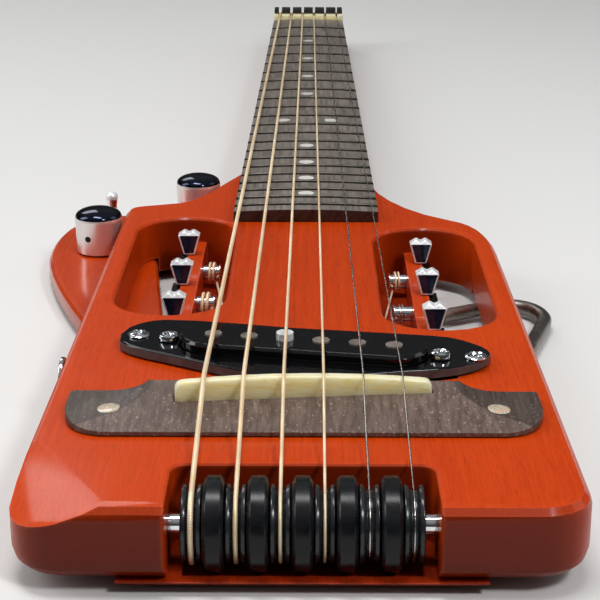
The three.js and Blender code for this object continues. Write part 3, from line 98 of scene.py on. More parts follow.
def srgb(red, green, blue):
    """A colour as a paint chart gives it, 0 to 255, as the shader wants it."""
    def channel(value):
        value /= 255
        return value / 12.92 if value <= 0.04045 else ((value + 0.055) / 1.055) ** 2.4
    return (channel(red), channel(green), channel(blue), 1)


def node(paint, kind, settings=None, sockets=None):
    """One node of a finish or of the sky. A socket takes a number, a colour or a node's output."""
    made = paint.node_tree.nodes.new("ShaderNode" + kind)
    for key, value in (settings or {}).items():
        setattr(made, key, value)
    for key, value in (sockets or {}).items():
        if isinstance(value, bpy.types.NodeSocket):
            paint.node_tree.links.new(value, made.inputs[key])
        else:
            made.inputs[key].default_value = value
    return made


def place(data, name):
    thing = bpy.data.objects.new(name, data)
    bpy.context.scene.collection.objects.link(thing)
    return thing


def select_only(thing):
    bpy.ops.object.select_all(action="DESELECT")
    thing.select_set(True)
    bpy.context.view_layer.objects.active = thing


bpy.ops.object.select_all(action="DESELECT")
bpy.ops.mesh.primitive_plane_add(size=8, location=(0, 0.3, -0.0002))
floor = bpy.context.object
floor.name = "studio_floor"
floor_paint = bpy.data.materials.new("pale_floor")
floor_paint.use_nodes = True
floor_shader = floor_paint.node_tree.nodes["Principled BSDF"]
floor_shader.inputs["Roughness"].default_value = 0.8
clamped_sum = {"operation": "ADD", "use_clamp": True}
seen_by = node(floor_paint, "LightPath").outputs
seen_or_mirrored = node(floor_paint, "Math", clamped_sum, {
    0: seen_by["Is Camera Ray"], 1: seen_by["Is Glossy Ray"]}).outputs[0]
seen_any_way = node(floor_paint, "Math", clamped_sum, {
    0: seen_or_mirrored, 1: seen_by["Is Transmission Ray"]}).outputs[0]
floor_tone = node(floor_paint, "Mix", {"data_type": "RGBA"}, {
    0: seen_any_way, 6: srgb(98, 97, 96), 7: srgb(220, 219, 217)}).outputs[2]
floor_paint.node_tree.links.new(floor_tone, floor_shader.inputs["Base Color"])
from_middle = node(floor_paint, "VectorMath", {"operation": "LENGTH"}, {
    0: node(floor_paint, "TexCoord").outputs["Object"]}).outputs["Value"]
far_out = node(floor_paint, "MapRange", {"interpolation_type": "SMOOTHSTEP"}, {
    "Value": from_middle, "From Min": 0.45, "From Max": 1.3}).outputs[0]
fade = node(floor_paint, "Math", {"operation": "MULTIPLY"}, {
    0: far_out, 1: seen_by["Is Camera Ray"]}).outputs[0]
pale_backdrop = srgb(214, 214, 212)
backdrop = node(floor_paint, "Emission", sockets={"Color": pale_backdrop}).outputs[0]
faded = node(floor_paint, "MixShader", sockets={
    0: fade, 1: floor_shader.outputs[0], 2: backdrop}).outputs[0]
floor_paint.node_tree.links.new(faded, floor_paint.node_tree.nodes["Material Output"].inputs[0])
floor.data.materials.append(floor_paint)

world = bpy.data.worlds.new("studio")
bpy.context.scene.world = world
world.use_nodes = True
sky = world.node_tree.nodes["Background"]
sky.inputs["Color"].default_value = srgb(236, 238, 240)
height_in_sky = node(world, "SeparateXYZ", sockets={
    0: node(world, "TexCoord").outputs["Generated"]}).outputs["Z"]
brighter_above = node(world, "MapRange", sockets={
    "Value": height_in_sky, "From Min": 0.3, "From Max": 0.85,
    "To Min": 0.055, "To Max": 0.36}).outputs[0]
world.node_tree.links.new(brighter_above, sky.inputs["Strength"])
plain_sky = node(world, "Background", sockets={"Color": pale_backdrop}).outputs[0]
shown_sky = node(world, "MixShader", sockets={
    0: node(world, "LightPath").outputs["Is Camera Ray"], 1: sky.outputs[0], 2: plain_sky}).outputs[0]
world.node_tree.links.new(shown_sky, world.node_tree.nodes["World Output"].inputs[0])


def lamp(name, spot, aim, size, power, shape="RECTANGLE"):
    light = bpy.data.lights.new(name, "AREA")
    light.shape = shape
    light.size, light.size_y = size
    light.energy = power
    thing = place(light, name)
    thing.location = spot
    thing.rotation_euler = (Vector(aim) - Vector(spot)).to_track_quat("-Z", "Y").to_euler()


lamp("key_left", (-1.15, 0.1, 0.7), (0, 0.05, 0), (0.5, 1.0), 7.6)
lamp("overhead", (-0.1, 0.0, 1.3), (0, 0.15, 0), (0.6, 0.26), 8.4)
lamp("fill_right", (1.1, 0.3, 0.6), (0, 0.1, 0), (0.6, 0.9), 2)
lamp("round_front", (0.34, -0.42, 0.62), (0, 0.02, 0.01), (0.16, 0.16), 2.6, "DISK")
lamp("behind_left", (-0.48, 1.15, 0.85), (-0.05, -0.02, 0.02), (0.5, 0.34), 2.1)
print("room ready")

# %% [markdown]
# ## Mixing a finish
# Every finish is a small net of nodes. These helpers name what a painter does: lay a coordinate
# system on the piece, put noise on it, turn the noise into colours, press it in as bump. All of them
# read Object coordinates, so a pattern keeps its real size in metres and doesn't slide.

# %% Finish helpers


def coordinates(paint, stretch=(1, 1, 1), shift=(0, 0, 0), turn=(0, 0, 0)):
    where = node(paint, "TexCoord").outputs["Object"]
    return node(paint, "Mapping", sockets={
        "Vector": where, "Location": shift, "Rotation": turn, "Scale": stretch}).outputs["Vector"]


def noise(paint, where, per_metre, detail=3.0, rough=0.55, warp=0.0):
    return node(paint, "TexNoise", sockets={
        "Vector": where, "Scale": per_metre, "Detail": detail, "Roughness": rough,
        "Distortion": warp}).outputs[0]


def ramp(paint, value, stops):
    """Numbers to colours. Each stop is (position, colour)."""
    made = node(paint, "ValToRGB", sockets={"Fac": value})
    marks = made.color_ramp.elements
    while len(marks) < len(stops):
        marks.new(0.5)
    for mark, (spot, colour) in zip(marks, stops):
        mark.position = spot
        mark.color = colour
    return made.outputs["Color"]


def grey(value):
    return (value, value, value, 1)


def blend(paint, share, first, second):
    return node(paint, "Mix", {"data_type": "RGBA"}, {0: share, 6: first, 7: second}).outputs[2]


def maths(paint, task, first, second=0.0):
    return node(paint, "Math", {"operation": task}, {0: first, 1: second}).outputs[0]


def spread_between(paint, value, low, high):
    """Noise runs about 0.3 to 0.7: spread it over low to high."""
    return node(paint, "MapRange", sockets={
        "Value": value, "From Min": 0.3, "From Max": 0.7, "To Min": low, "To Max": high}).outputs[0]


def worn_edges(paint, reach_mm):
    """1 where the surface turns a corner, 0 on the flats, broken up by noise."""
    rounded = node(paint, "Bevel", {"samples": 4}, {"Radius": reach_mm * MM}).outputs[0]
    plain = node(paint, "NewGeometry").outputs["Normal"]
    match = node(paint, "VectorMath", {"operation": "DOT_PRODUCT"}, {
        0: rounded, 1: plain}).outputs["Value"]
    turn_away = maths(paint, "SUBTRACT", 1.0, match)
    edge = node(paint, "MapRange", sockets={
        "Value": turn_away, "From Min": 0.02, "From Max": 0.25}).outputs[0]
    patches = noise(paint, coordinates(paint), 180, 4, 0.6)
    return maths(paint, "MULTIPLY", edge, spread_between(paint, patches, 0.15, 1.0))


def new_finish(name, metal=0.0, coat=0.0, coat_roughness=0.1, shine=0.5):
    paint = bpy.data.materials.new(name)
    paint.use_nodes = True
    shader = paint.node_tree.nodes["Principled BSDF"]
    shader.inputs["Metallic"].default_value = metal
    shader.inputs["Coat Weight"].default_value = coat
    shader.inputs["Coat Roughness"].default_value = coat_roughness
    shader.inputs["Specular IOR Level"].default_value = shine
    return paint


def wire_up(paint, colour=None, roughness=None, height=None, press_mm=0.05, strength=0.5):
    """Join the mixed colour, roughness and bump to the shader."""
    shader = paint.node_tree.nodes["Principled BSDF"]
    if colour is not None:
        paint.node_tree.links.new(colour, shader.inputs["Base Color"])
    if roughness is not None:
        paint.node_tree.links.new(roughness, shader.inputs["Roughness"])
    if height is not None:
        pressed = node(paint, "Bump", sockets={
            "Strength": strength, "Distance": press_mm * MM, "Height": height}).outputs["Normal"]
        paint.node_tree.links.new(pressed, shader.inputs["Normal"])
    return paint


print("finish helpers ready")

# %% [markdown]
# ## Mahogany under satin lacquer
# The body, the wing and the back panel are one wood: an orange-red stain with fine dark pores drawn
# out along the strings, broad lighter ribbons, and a thin satin lacquer. Noise that is stretched
# forty times along Y makes the pores. A second, far larger noise makes the ribbons.
# Faces that look along the grain, as at the tail, go darker: partly because the cut ends of the
# fibres soak up more stain, and partly as painted shade. The surface's own normal tells which those
# are, which also fades it round the corners.

# %% Mahogany


def mahogany(name, tone, shift, lacquer=0.32):
    deep, middle, light = tone
    paint = new_finish(name, coat=lacquer, coat_roughness=0.12, shine=0.08)
    streaks = noise(paint, coordinates(paint, (1, 0.035, 1), shift), 1100, 5, 0.6)
    ribbons = noise(paint, coordinates(paint, (1, 0.12, 1), shift), 38, 3, 0.5, 0.4)
    pores = noise(paint, coordinates(paint, (1, 0.045, 1), shift), 3600, 2, 0.5)
    stain = ramp(paint, streaks, [(0.24, deep), (0.5, middle), (0.78, light)])
    stain = blend(paint, spread_between(paint, ribbons, 0.0, 0.45), stain, light)
    clouds = noise(paint, coordinates(paint, (1, 0.5, 1), shift), 14, 3, 0.6)
    stain = blend(paint, spread_between(paint, clouds, 0.0, 0.35), stain, deep)
    pore_mask = ramp(paint, pores, [(0.57, grey(0)), (0.66, grey(1))])
    dark_pore = tuple(c * 0.35 for c in deep[:3]) + (1,)
    stain = blend(paint, maths(paint, "MULTIPLY", pore_mask, 0.28), stain, dark_pore)
    surface = node(paint, "NewGeometry")
    facing = node(paint, "SeparateXYZ", sockets={0: surface.outputs["Normal"]})
    end_on = maths(paint, "ABSOLUTE", facing.outputs["Y"])
    # Painted shade on top of the end grain's darker stain: faces that look along Y are mixed darker.
    end_grain_stain_and_painted_shade = ramp(paint, end_on, [(0.45, grey(0)), (0.97, grey(1))])
    soaked_and_painted_shade_tone = tuple(c * 0.42 for c in deep[:3]) + (1,)
    stain = blend(paint, maths(paint, "MULTIPLY", end_grain_stain_and_painted_shade, 0.86), stain, soaked_and_painted_shade_tone)
    # Edges go paler: partly wear, partly a painted highlight along the rounded rims.
    pale_wear_and_painted_highlight = tuple(min(1, c * 1.5 + 0.08) for c in light[:3]) + (1,)
    stain = blend(paint, maths(paint, "MULTIPLY", worn_edges(paint, 1.3), 0.6), stain, pale_wear_and_painted_highlight)
    rubbed = noise(paint, coordinates(paint, (1, 0.7, 1), shift), 60, 4, 0.6)
    rough = spread_between(paint, rubbed, 0.36, 0.52)
    ripple = maths(paint, "SUBTRACT", maths(paint, "MULTIPLY", streaks, 0.5), pore_mask)
    return wire_up(paint, stain, rough, ripple, 0.02, 0.35)


stain_tone = (srgb(170, 48, 2), srgb(188, 57, 4), srgb(202, 71, 11))
body_mahogany = mahogany("satin_mahogany_body", stain_tone, (0, 0, 0))
wing_mahogany = mahogany("satin_mahogany_wing", stain_tone, (0.3, 0.11, 0.07), 0.7)
# The back panel is the same wood, mixed in darker tones as painted shade, since it lies underneath.
panel_mahogany_painted_shade = mahogany("satin_mahogany_panel_painted_shade", (srgb(120, 28, 4), srgb(146, 38, 7), srgb(164, 54, 14)),
                          (0.7, 0.2, 0.31))
print("mahogany mixed")

# %% [markdown]
# ## Dark, dry woods
# The fingerboard is nearly black, close-pored and oiled. The bridge is the same family of wood but
# dry, so it is greyer and its pores hold pale dust. One function makes both, from their colours.
# The bridge's wings are scooped, and they are mixed towards a near-black brown there as painted shade.
# The scoop's curved line is worked out from the place across the bridge and the distance from its edge
# nearest the head.

# %% Fingerboard and bridge wood


def dark_wood(name, deep, middle, light, fleck, fleck_share, rough_low, rough_high, shift):
    paint = new_finish(name, shine=0.4)
    streaks = noise(paint, coordinates(paint, (1, 0.05, 1), shift), 900, 5, 0.65)
    pores = noise(paint, coordinates(paint, (1, 0.07, 1), shift), 2600, 3, 0.6)
    broad = noise(paint, coordinates(paint, (1, 0.3, 1), shift), 60, 3, 0.6)
    tone = ramp(paint, streaks, [(0.33, deep), (0.5, middle), (0.7, light)])
    tone = blend(paint, spread_between(paint, broad, 0.0, 0.5), tone, deep)
    pore_mask = ramp(paint, pores, [(0.58, grey(0)), (0.67, grey(1))])
    tone = blend(paint, maths(paint, "MULTIPLY", pore_mask, 0.6), tone, deep)
    specks = noise(paint, coordinates(paint, (1, 0.6, 1), shift), 1500, 2, 0.5)
    speck_mask = ramp(paint, specks, [(0.63, grey(0)), (0.7, grey(1))])
    tone = blend(paint, maths(paint, "MULTIPLY", speck_mask, fleck_share), tone, fleck)
    tone = blend(paint, maths(paint, "MULTIPLY", worn_edges(paint, 0.5), 0.35), tone, light)
    rough = spread_between(paint, broad, rough_low, rough_high)
    return wire_up(paint, tone, rough, maths(paint, "SUBTRACT", streaks, pore_mask), 0.05, 0.5)


board_rosewood = dark_wood("oiled_rosewood_board", srgb(30, 18, 14), srgb(52, 30, 24), srgb(76, 46, 36),
                           srgb(96, 64, 50), 0.25, 0.38, 0.55, (0.1, 0, 0))
# The board's top in pale grey: painted glare.
board_top_painted_glare = dark_wood("rosewood_top_painted_glare", srgb(84, 76, 70), srgb(122, 114, 107),
                               srgb(150, 142, 134), srgb(164, 156, 146), 0.25, 0.36, 0.5, (0.1, 0, 0))
bridge_rosewood = dark_wood("dry_rosewood_bridge", srgb(74, 60, 53), srgb(100, 83, 75), srgb(124, 106, 97),
                            srgb(196, 178, 165), 0.45, 0.34, 0.5, (0.4, 0.2, 0))
bridge_shader = bridge_rosewood.node_tree.nodes["Principled BSDF"]
on_bridge = node(bridge_rosewood, "SeparateXYZ", sockets={
    0: node(bridge_rosewood, "TexCoord").outputs["Object"]}).outputs
bridge_head_edge = 3.9
scoop_bend = 39.0
from_head_edge = maths(bridge_rosewood, "SUBTRACT", bridge_head_edge * MM, on_bridge["Y"])
squared = maths(bridge_rosewood, "MULTIPLY", from_head_edge, from_head_edge)
bend = maths(bridge_rosewood, "MULTIPLY", squared, scoop_bend)
off_middle = maths(bridge_rosewood, "ABSOLUTE", on_bridge["X"])
past_bend = maths(bridge_rosewood, "SUBTRACT", off_middle, bend)
# Painted shade: past the scoop's curve, the bridge's wings are mixed towards a near-black brown.
wing_shade_share = node(bridge_rosewood, "MapRange", sockets={
    "Value": past_bend, "From Min": 38.5 * MM, "From Max": 39.5 * MM,
    "To Min": 0.0, "To Max": 0.55}).outputs[0]
plain_tone = bridge_shader.inputs["Base Color"].links[0].from_socket
wing_painted_shade_tone = blend(bridge_rosewood, wing_shade_share, plain_tone, srgb(26, 20, 17))
bridge_rosewood.node_tree.links.new(wing_painted_shade_tone, bridge_shader.inputs["Base Color"])
print("dark woods mixed")

# %% [markdown]
# ## Bone and pearl
# Bone is warm white with faint long marks and a soft polish. Light goes a little way into it, which
# a touch of subsurface shows. The inlay dots are shell: pale, with patches of green and orange.

# %% Bone and pearl


def bone_finish(name, pale, warm):
    paint = new_finish(name, shine=0.5)
    shader = paint.node_tree.nodes["Principled BSDF"]
    shader.inputs["Subsurface Weight"].default_value = 0.9
    shader.inputs["Subsurface Scale"].default_value = 0.007
    shader.inputs["Subsurface Radius"].default_value = (1.0, 0.9, 0.75)
    marks = noise(paint, coordinates(paint, (0.12, 1, 1)), 1400, 4, 0.6)
    stains = noise(paint, coordinates(paint), 220, 3, 0.5)
    tone = ramp(paint, marks, [(0.35, warm), (0.55, pale)])
    tone = blend(paint, spread_between(paint, stains, 0.0, 0.35), tone, warm)
    return wire_up(paint, tone, spread_between(paint, stains, 0.26, 0.4), marks, 0.02, 0.35)


polished_bone = bone_finish("polished_bone", srgb(255, 236, 194), srgb(255, 218, 158))


def shell(name, waves_per_metre, tones):
    paint = new_finish(name, coat=0.6, coat_roughness=0.05, shine=0.7)
    waves = noise(paint, coordinates(paint), waves_per_metre, 3, 0.6, 1.4)
    tone = ramp(paint, waves, list(zip((0.3, 0.42, 0.54, 0.66), tones)))
    return wire_up(paint, tone, spread_between(paint, waves, 0.12, 0.3), waves, 0.02, 0.3)


pearl = shell("pearl_inlay", 620, [
    srgb(240, 222, 214), srgb(255, 250, 246), srgb(232, 236, 230), srgb(255, 252, 250)])
copper_pearl = shell("copper_pearl", 900, [
    srgb(206, 120, 78), srgb(222, 176, 146), srgb(150, 164, 146), srgb(226, 214, 204)])
print("bone and pearl mixed")

# %% [markdown]
# ## Black plastic and metals
# Polished parts are never evenly polished. Each has fine scratches, a smudge pattern in its
# roughness, and a colour that varies a little. The metals differ in tone and in how rough they are,
# so one function mixes them all.

# %% Plastic and metals


def plastic(name, dark, light, rough_low, rough_high, coat=0.12, shine=0.35):
    paint = new_finish(name, coat=coat, coat_roughness=0.12, shine=shine)
    cloud = noise(paint, coordinates(paint), 240, 4, 0.6)
    scratches = noise(paint, coordinates(paint, (1, 0.06, 0.4), (0, 0, 0), (0.2, 0.3, 0.6)), 2400, 3, 0.7)
    tone = ramp(paint, cloud, [(0.35, dark), (0.68, light)])
    scuffed = maths(paint, "MULTIPLY", worn_edges(paint, 0.25), 0.25)
    tone = blend(paint, scuffed, tone, tuple(min(1, c * 3 + 0.03) for c in light[:3]) + (1,))
    rough = spread_between(paint, cloud, rough_low, rough_high)
    return wire_up(paint, tone, rough, scratches, 0.006, 0.25)


def metal(name, dark, light, rough_low, rough_high, press_mm=0.006, brushed=None, share=1.0):
    paint = new_finish(name, metal=share)
    smudge = noise(paint, coordinates(paint), 260, 4, 0.6)
    along = brushed or (1, 0.08, 0.5)
    turn = (0, 0, 0) if brushed else (0.3, 0.2, 0.5)
    hairlines = noise(paint, coordinates(paint, along, turn=turn), 2600, 3, 0.7)
    tone = ramp(paint, smudge, [(0.35, dark), (0.65, light)])
    tone = blend(paint, maths(paint, "MULTIPLY", worn_edges(paint, 0.3), 0.35), tone,
                 tuple(min(1, c * 1.25 + 0.02) for c in light[:3]) + (1,))
    rough = spread_between(paint, smudge, rough_low, rough_high)
    return wire_up(paint, tone, rough, hairlines, press_mm, 0.3)


gloss_black = plastic("gloss_black_plastic", srgb(7, 7, 9), srgb(13, 13, 15), 0.05, 0.11)
satin_black = plastic("satin_black_edge", srgb(62, 60, 60), srgb(84, 81, 80), 0.36, 0.46)
disc_black = plastic("disc_black_plastic", srgb(12, 13, 15), srgb(21, 22, 25), 0.24, 0.34, 0.04, 0.22)
matt_black = plastic("matt_black_plastic", srgb(24, 24, 26), srgb(34, 34, 36), 0.4, 0.55)
roller_black = plastic("roller_black", srgb(26, 28, 30), srgb(42, 44, 47), 0.2, 0.32)
bright_chrome = metal("bright_chrome", srgb(206, 209, 214), srgb(236, 238, 240), 0.05, 0.13)
# Chrome made dark as a painted dark reflection: the knob domes and the axle's middle.
painted_dark_reflection_chrome = metal("chrome_painted_dark_reflection", srgb(38, 43, 56), srgb(52, 57, 72), 0.04, 0.1)
# Chrome made navy as a painted dark reflection on the buttons' broad faces.
button_face_painted_reflection = metal("button_chrome_painted_dark_reflection", srgb(22, 28, 46), srgb(44, 52, 78), 0.06, 0.14, share=0.45)
# A pale, partly diffuse chrome for painted highlights: button edges, the raised pole and the lever's tip.
cast_chrome_painted_highlight = metal("cast_chrome_painted_highlight", srgb(228, 230, 233), srgb(244, 245, 246), 0.24, 0.34, 0.004, share=0.3)
grey_steel = metal("grey_steel", srgb(128, 128, 130), srgb(160, 160, 161), 0.25, 0.4, 0.01)
pole_steel = metal("pole_steel", srgb(118, 108, 100), srgb(150, 140, 131), 0.3, 0.42, 0.008, share=0.4)
fret_nickel = metal("fret_nickel", srgb(112, 108, 101), srgb(138, 133, 125), 0.42, 0.56, 0.003)
# A dark finish for the frets' sides: painted shade.
fret_side_painted_shade = metal("fret_side_painted_shade", srgb(28, 25, 22), srgb(44, 40, 36), 0.5, 0.62, 0.003)
recess_shadow = metal("recess_shadow", srgb(30, 30, 32), srgb(48, 48, 51), 0.4, 0.55)
black_metal = metal("black_metal", srgb(34, 35, 38), srgb(52, 53, 56), 0.3, 0.42)
plain_steel_string = metal("plain_steel_string", srgb(176, 170, 166), srgb(206, 200, 194), 0.2, 0.32, 0.004,
                           (1, 0.02, 1))
satin_rod = metal("satin_rod", srgb(120, 113, 107), srgb(152, 145, 138), 0.34, 0.46, 0.012, (1, 0.05, 1))
brass_ball = metal("brass_ball", srgb(190, 150, 86), srgb(218, 182, 118), 0.2, 0.35)
print("plastics and metals mixed")

# %% [markdown]
# ## Knurled and wound surfaces
# The knobs' sides carry fine ridges, so a radial gradient is centred on each knob and turned into a
# wave. The bass strings are a steel core wrapped in bronze wire. Their wave follows an attribute that
# says how far along the string each point is, because no straight coordinate follows a bent string.

# %% Knurl and winding


def knurled_side(name, centre, ridges=96):
    paint = new_finish(name, metal=0.75)
    middle = coordinates(paint, (1, 1, 1), (-centre[0] * MM, -centre[1] * MM, 0))
    angle = node(paint, "TexGradient", {"gradient_type": "RADIAL"}, {"Vector": middle}).outputs[0]
    wave = maths(paint, "SINE", maths(paint, "MULTIPLY", angle, ridges * 2 * math.pi))
    smudge = noise(paint, coordinates(paint), 300, 4, 0.6)
    tone = ramp(paint, smudge, [(0.3, srgb(232, 224, 221)), (0.7, srgb(236, 229, 227))])
    tone = blend(paint, maths(paint, "MULTIPLY", maths(paint, "ADD", wave, 1.0), 0.06), tone,
                 srgb(150, 138, 136))
    return wire_up(paint, tone, spread_between(paint, smudge, 0.28, 0.32), wave, 0.01, 0.15)


def wound_bronze(name, wrap_mm):
    paint = new_finish(name, metal=0.35)
    along = node(paint, "Attribute", {"attribute_name": "along"}).outputs["Fac"]
    wave = maths(paint, "SINE", maths(paint, "MULTIPLY", along, 2 * math.pi / (wrap_mm * MM)))
    smudge = noise(paint, coordinates(paint, (1, 0.3, 1)), 240, 4, 0.6)
    tone = ramp(paint, smudge, [(0.35, srgb(248, 218, 174)), (0.65, srgb(255, 238, 206))])
    # Painted shade: the grooves between the windings are mixed darker.
    tone = blend(paint, maths(paint, "MULTIPLY", maths(paint, "SUBTRACT", 1.0, wave), 0.12), tone,
                 srgb(150, 108, 66))
    return wire_up(paint, tone, spread_between(paint, smudge, 0.38, 0.5), wave, 0.04, 0.4)


print("knurl and winding helpers ready")

# %% [markdown]
# ## Making pieces
# A solid from CAD comes as loose triangles with hard edges. A copy of it is merged, its edges get a
# small round and its flats stay flat with weighted normals. That copy stands for the solid.
# Round pieces are turned instead: a profile is extruded point by point and spun about its axle.

# %% Piece helpers


def start_edit(thing):
    select_only(thing)
    bpy.ops.object.mode_set(mode="EDIT")
    bpy.ops.mesh.select_all(action="SELECT")


def apply_modifier(thing, kind, **settings):
    select_only(thing)
    tool = thing.modifiers.new(kind.lower(), kind)
    for key, value in settings.items():
        setattr(tool, key, value)
    bpy.ops.object.modifier_apply(modifier=tool.name)


def soften(thing, edge_mm=0.0, corner=35, rounds=2):
    """Round the sharp edges, then shade what is round smoothly and what is flat flat."""
    if edge_mm:
        apply_modifier(thing, "BEVEL", width=edge_mm * MM, segments=rounds, limit_method="ANGLE",
                       angle_limit=math.radians(40), use_clamp_overlap=True)
    select_only(thing)
    bpy.ops.object.shade_smooth_by_angle(angle=math.radians(corner))
    apply_modifier(thing, "WEIGHTED_NORMAL", keep_sharp=True)


def settle(thing, paints, body="guitar", stands_for=()):
    """Give the piece its finish and its place among the moving bodies, and hide the nodes it stands for."""
    paints = paints if isinstance(paints, (list, tuple)) else [paints]
    while len(thing.data.materials) < len(paints):
        thing.data.materials.append(None)
    for spot, paint in enumerate(paints):
        thing.data.materials[spot] = paint
    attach(thing, body)
    if stands_for:
        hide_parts(*stands_for)
    return thing


def merged_copy(solid, name, edge_mm=0.0, corner=35, rounds=2):
    thing = place(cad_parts[solid].data.copy(), name)
    thing.data.materials.clear()
    select_only(thing)
    if thing.data.has_custom_normals:
        bpy.ops.mesh.customdata_custom_splitnormals_clear()
    start_edit(thing)
    bpy.ops.mesh.remove_doubles(threshold=1e-6)
    bpy.ops.mesh.dissolve_limited(angle_limit=math.radians(0.4))
    bpy.ops.object.mode_set(mode="OBJECT")
    soften(thing, edge_mm, corner, rounds)
    return thing


def eased(solid, name, edge_mm, corner, rounds, paint):
    """A copy of a solid with a small round on its edges, finished and standing for the solid."""
    return settle(merged_copy(solid, name, edge_mm, corner, rounds), paint, stands_for=[solid])


def turned(name, profile, centre, axis, steps=48, corner=35):
    """Spin a profile of (radius, distance along the axis) in mm about an axle through centre."""
    out = Vector((1, 0, 0)) if axis == "Z" else Vector((0, 0, 1))
    along = {"X": Vector((1, 0, 0)), "Y": Vector((0, 1, 0)), "Z": Vector((0, 0, 1))}[axis]
    spots = [(Vector(centre) + out * r + along * a) * MM for r, a in profile]
    bpy.ops.object.select_all(action="DESELECT")
    bpy.ops.mesh.primitive_plane_add(size=MM)
    thing = bpy.context.object
    thing.name = name
    start_edit(thing)
    bpy.ops.mesh.merge(type="CENTER")
    bpy.ops.transform.translate(value=spots[0])
    for here, there in zip(spots, spots[1:]):
        bpy.ops.mesh.extrude_region_move(TRANSFORM_OT_translate={"value": there - here})
    bpy.ops.mesh.select_all(action="SELECT")
    bpy.ops.mesh.spin(steps=steps, angle=2 * math.pi, center=Vector(centre) * MM, axis=along)
    bpy.ops.mesh.select_all(action="SELECT")
    bpy.ops.mesh.remove_doubles(threshold=2e-6)
    bpy.ops.mesh.normals_make_consistent(inside=False)
    bpy.ops.object.mode_set(mode="OBJECT")
    soften(thing, 0, corner)
    return thing


def twin(thing, name, shift):
    """The same piece again, with its own mesh, moved by shift in mm."""
    copy = place(thing.data.copy(), name)
    copy.data.transform(Matrix.Translation(Vector(shift) * MM))
    return copy


def tube(name, route, radius, roundness=4):
    """A round rod or wire along a route of points in mm, with the distance along it kept."""
    bend = bpy.data.curves.new(name, "CURVE")
    bend.dimensions = "3D"
    bend.bevel_depth = radius * MM
    bend.bevel_resolution = roundness
    bend.use_fill_caps = True
    line = bend.splines.new("POLY")
    line.points.add(len(route) - 1)
    for point, spot in zip(line.points, route):
        point.co = (*(Vector(spot) * MM), 1)
    thing = place(bend, name)
    select_only(thing)
    bpy.ops.object.convert(target="MESH")
    thing = bpy.context.object
    around = len(thing.data.vertices) // len(route)
    lengths = [0.0]
    for here, there in zip(route, route[1:]):
        lengths.append(lengths[-1] + (Vector(there) - Vector(here)).length * MM)
    along = thing.data.attributes.new("along", "FLOAT", "POINT")
    for index in range(len(thing.data.vertices)):
        along.data[index].value = lengths[min(index // around, len(lengths) - 1)]
    select_only(thing)
    bpy.ops.object.shade_smooth_by_angle(angle=math.radians(50))
    return thing


def carry(thing, *paints):
    """Put the finishes on the piece, so that its faces can be shared out between them."""
    for paint in paints:
        thing.data.materials.append(paint)


def faces_of(thing, wanted, slot_number):
    """Give another finish to the faces whose normal and centre are wanted."""
    for face in thing.data.polygons:
        if wanted(face.normal, face.center / MM):
            face.material_index = slot_number


print("piece helpers ready")

# %% [markdown]
# ## Body, wing and panel
# The body and neck are one carved piece of wood, so their large rounds are already in the solid.
# The copies get the small round that sanding leaves on an edge. Faces that turn gently are shaded
# smoothly, and the flat top keeps its flat light.

# %% Wooden body pieces
body_wood = eased("neck_body", "carved_body", 0.8, 24, 3, body_mahogany)
wing_wood = eased("bass_wing", "carved_wing", 0.4, 28, 2, wing_mahogany)
eased("back_panel", "back_panel_board", 0.6, 30, 3, panel_mahogany_painted_shade)
print("body faces:", len(body_wood.data.polygons), "wing faces:", len(wing_wood.data.polygons))

# %% [markdown]
# ## The fingerboard
# The real board is a slim wedge with an arched top, and each fret is a separate wire pressed into it.
# A grid gives the board enough columns to bend into the arch. Every point is then set by its place
# on the neck, which tilts back a little towards the head. Its top gets a pale grey finish as painted
# glare, while the end grain and the sides stay dark with oil, so they are two finishes.

# %% Fingerboard
tilt = math.radians(0.8)
scale_length = 628.65
board_end = 459.4
board_y = 169.23
board_top = 27.5
board_thickness = 4.8
board_arch = 0.8
half_at_nut = 21.5
half_at_end = 25.9
board_start = 0.3


def half_board(t):
    return half_at_nut + (half_at_end - half_at_nut) * t / board_end


def on_board(t, height, x):
    """A point on the neck: t from the nut, height above the board's top, x across."""
    return Vector((x, board_y + (board_end - t) * math.cos(tilt),
                   board_top - (board_end - t) * math.sin(tilt) + height))


def arch_at(x, t):
    return -board_arch * (x / half_board(t)) ** 2


def new_grid(name, columns, rows):
    bpy.ops.object.select_all(action="DESELECT")
    bpy.ops.mesh.primitive_grid_add(x_subdivisions=columns, y_subdivisions=rows, size=1)
    thing = bpy.context.object
    thing.name = name
    bpy.ops.object.mode_set(mode="EDIT")
    bpy.ops.mesh.select_all(action="SELECT")
    bpy.ops.mesh.extrude_region_move(TRANSFORM_OT_translate={"value": (0, 0, -1)})
    bpy.ops.mesh.select_all(action="SELECT")
    bpy.ops.mesh.normals_make_consistent(inside=False)
    bpy.ops.object.mode_set(mode="OBJECT")
    return thing


board = new_grid("arched_board", 16, 24)
for corner in board.data.vertices:
    u, v, low = corner.co
    t = board_start + (0.5 - v) * (board_end - board_start)
    x = 2 * u * half_board(t)
    height = arch_at(x, t) if low > -0.5 else -board_thickness
    corner.co = on_board(t, height, x) * MM
soften(board, 0.45, 30, 2)
carry(board, board_rosewood, board_top_painted_glare)
# The upward faces get the pale finish: painted glare.
faces_of(board, lambda normal, centre: normal.z > 0.8, 1)
settle(board, [board_rosewood, board_top_painted_glare], stands_for=["fingerboard"])
print("board from", round(board.dimensions.y / MM, 1), "mm long")

# %% [markdown]
# ## The frets
# A fret is a nickel wire with a half-round crown, bent to the board's arch, with its ends filed at a
# slope so that they don't catch the hand. Each is a small grid, its rows set on the crown's curve.
# The top keeps the bright nickel. The faces below the crown get a dark finish as painted shade.

# %% Fret wires


def fret_place(n):
    return scale_length * (1 - 2 ** (-n / 12))


fret_count = 22
fret_crown = 0.86
fret_half_width = 1.12
fret_end_slope = 0.55


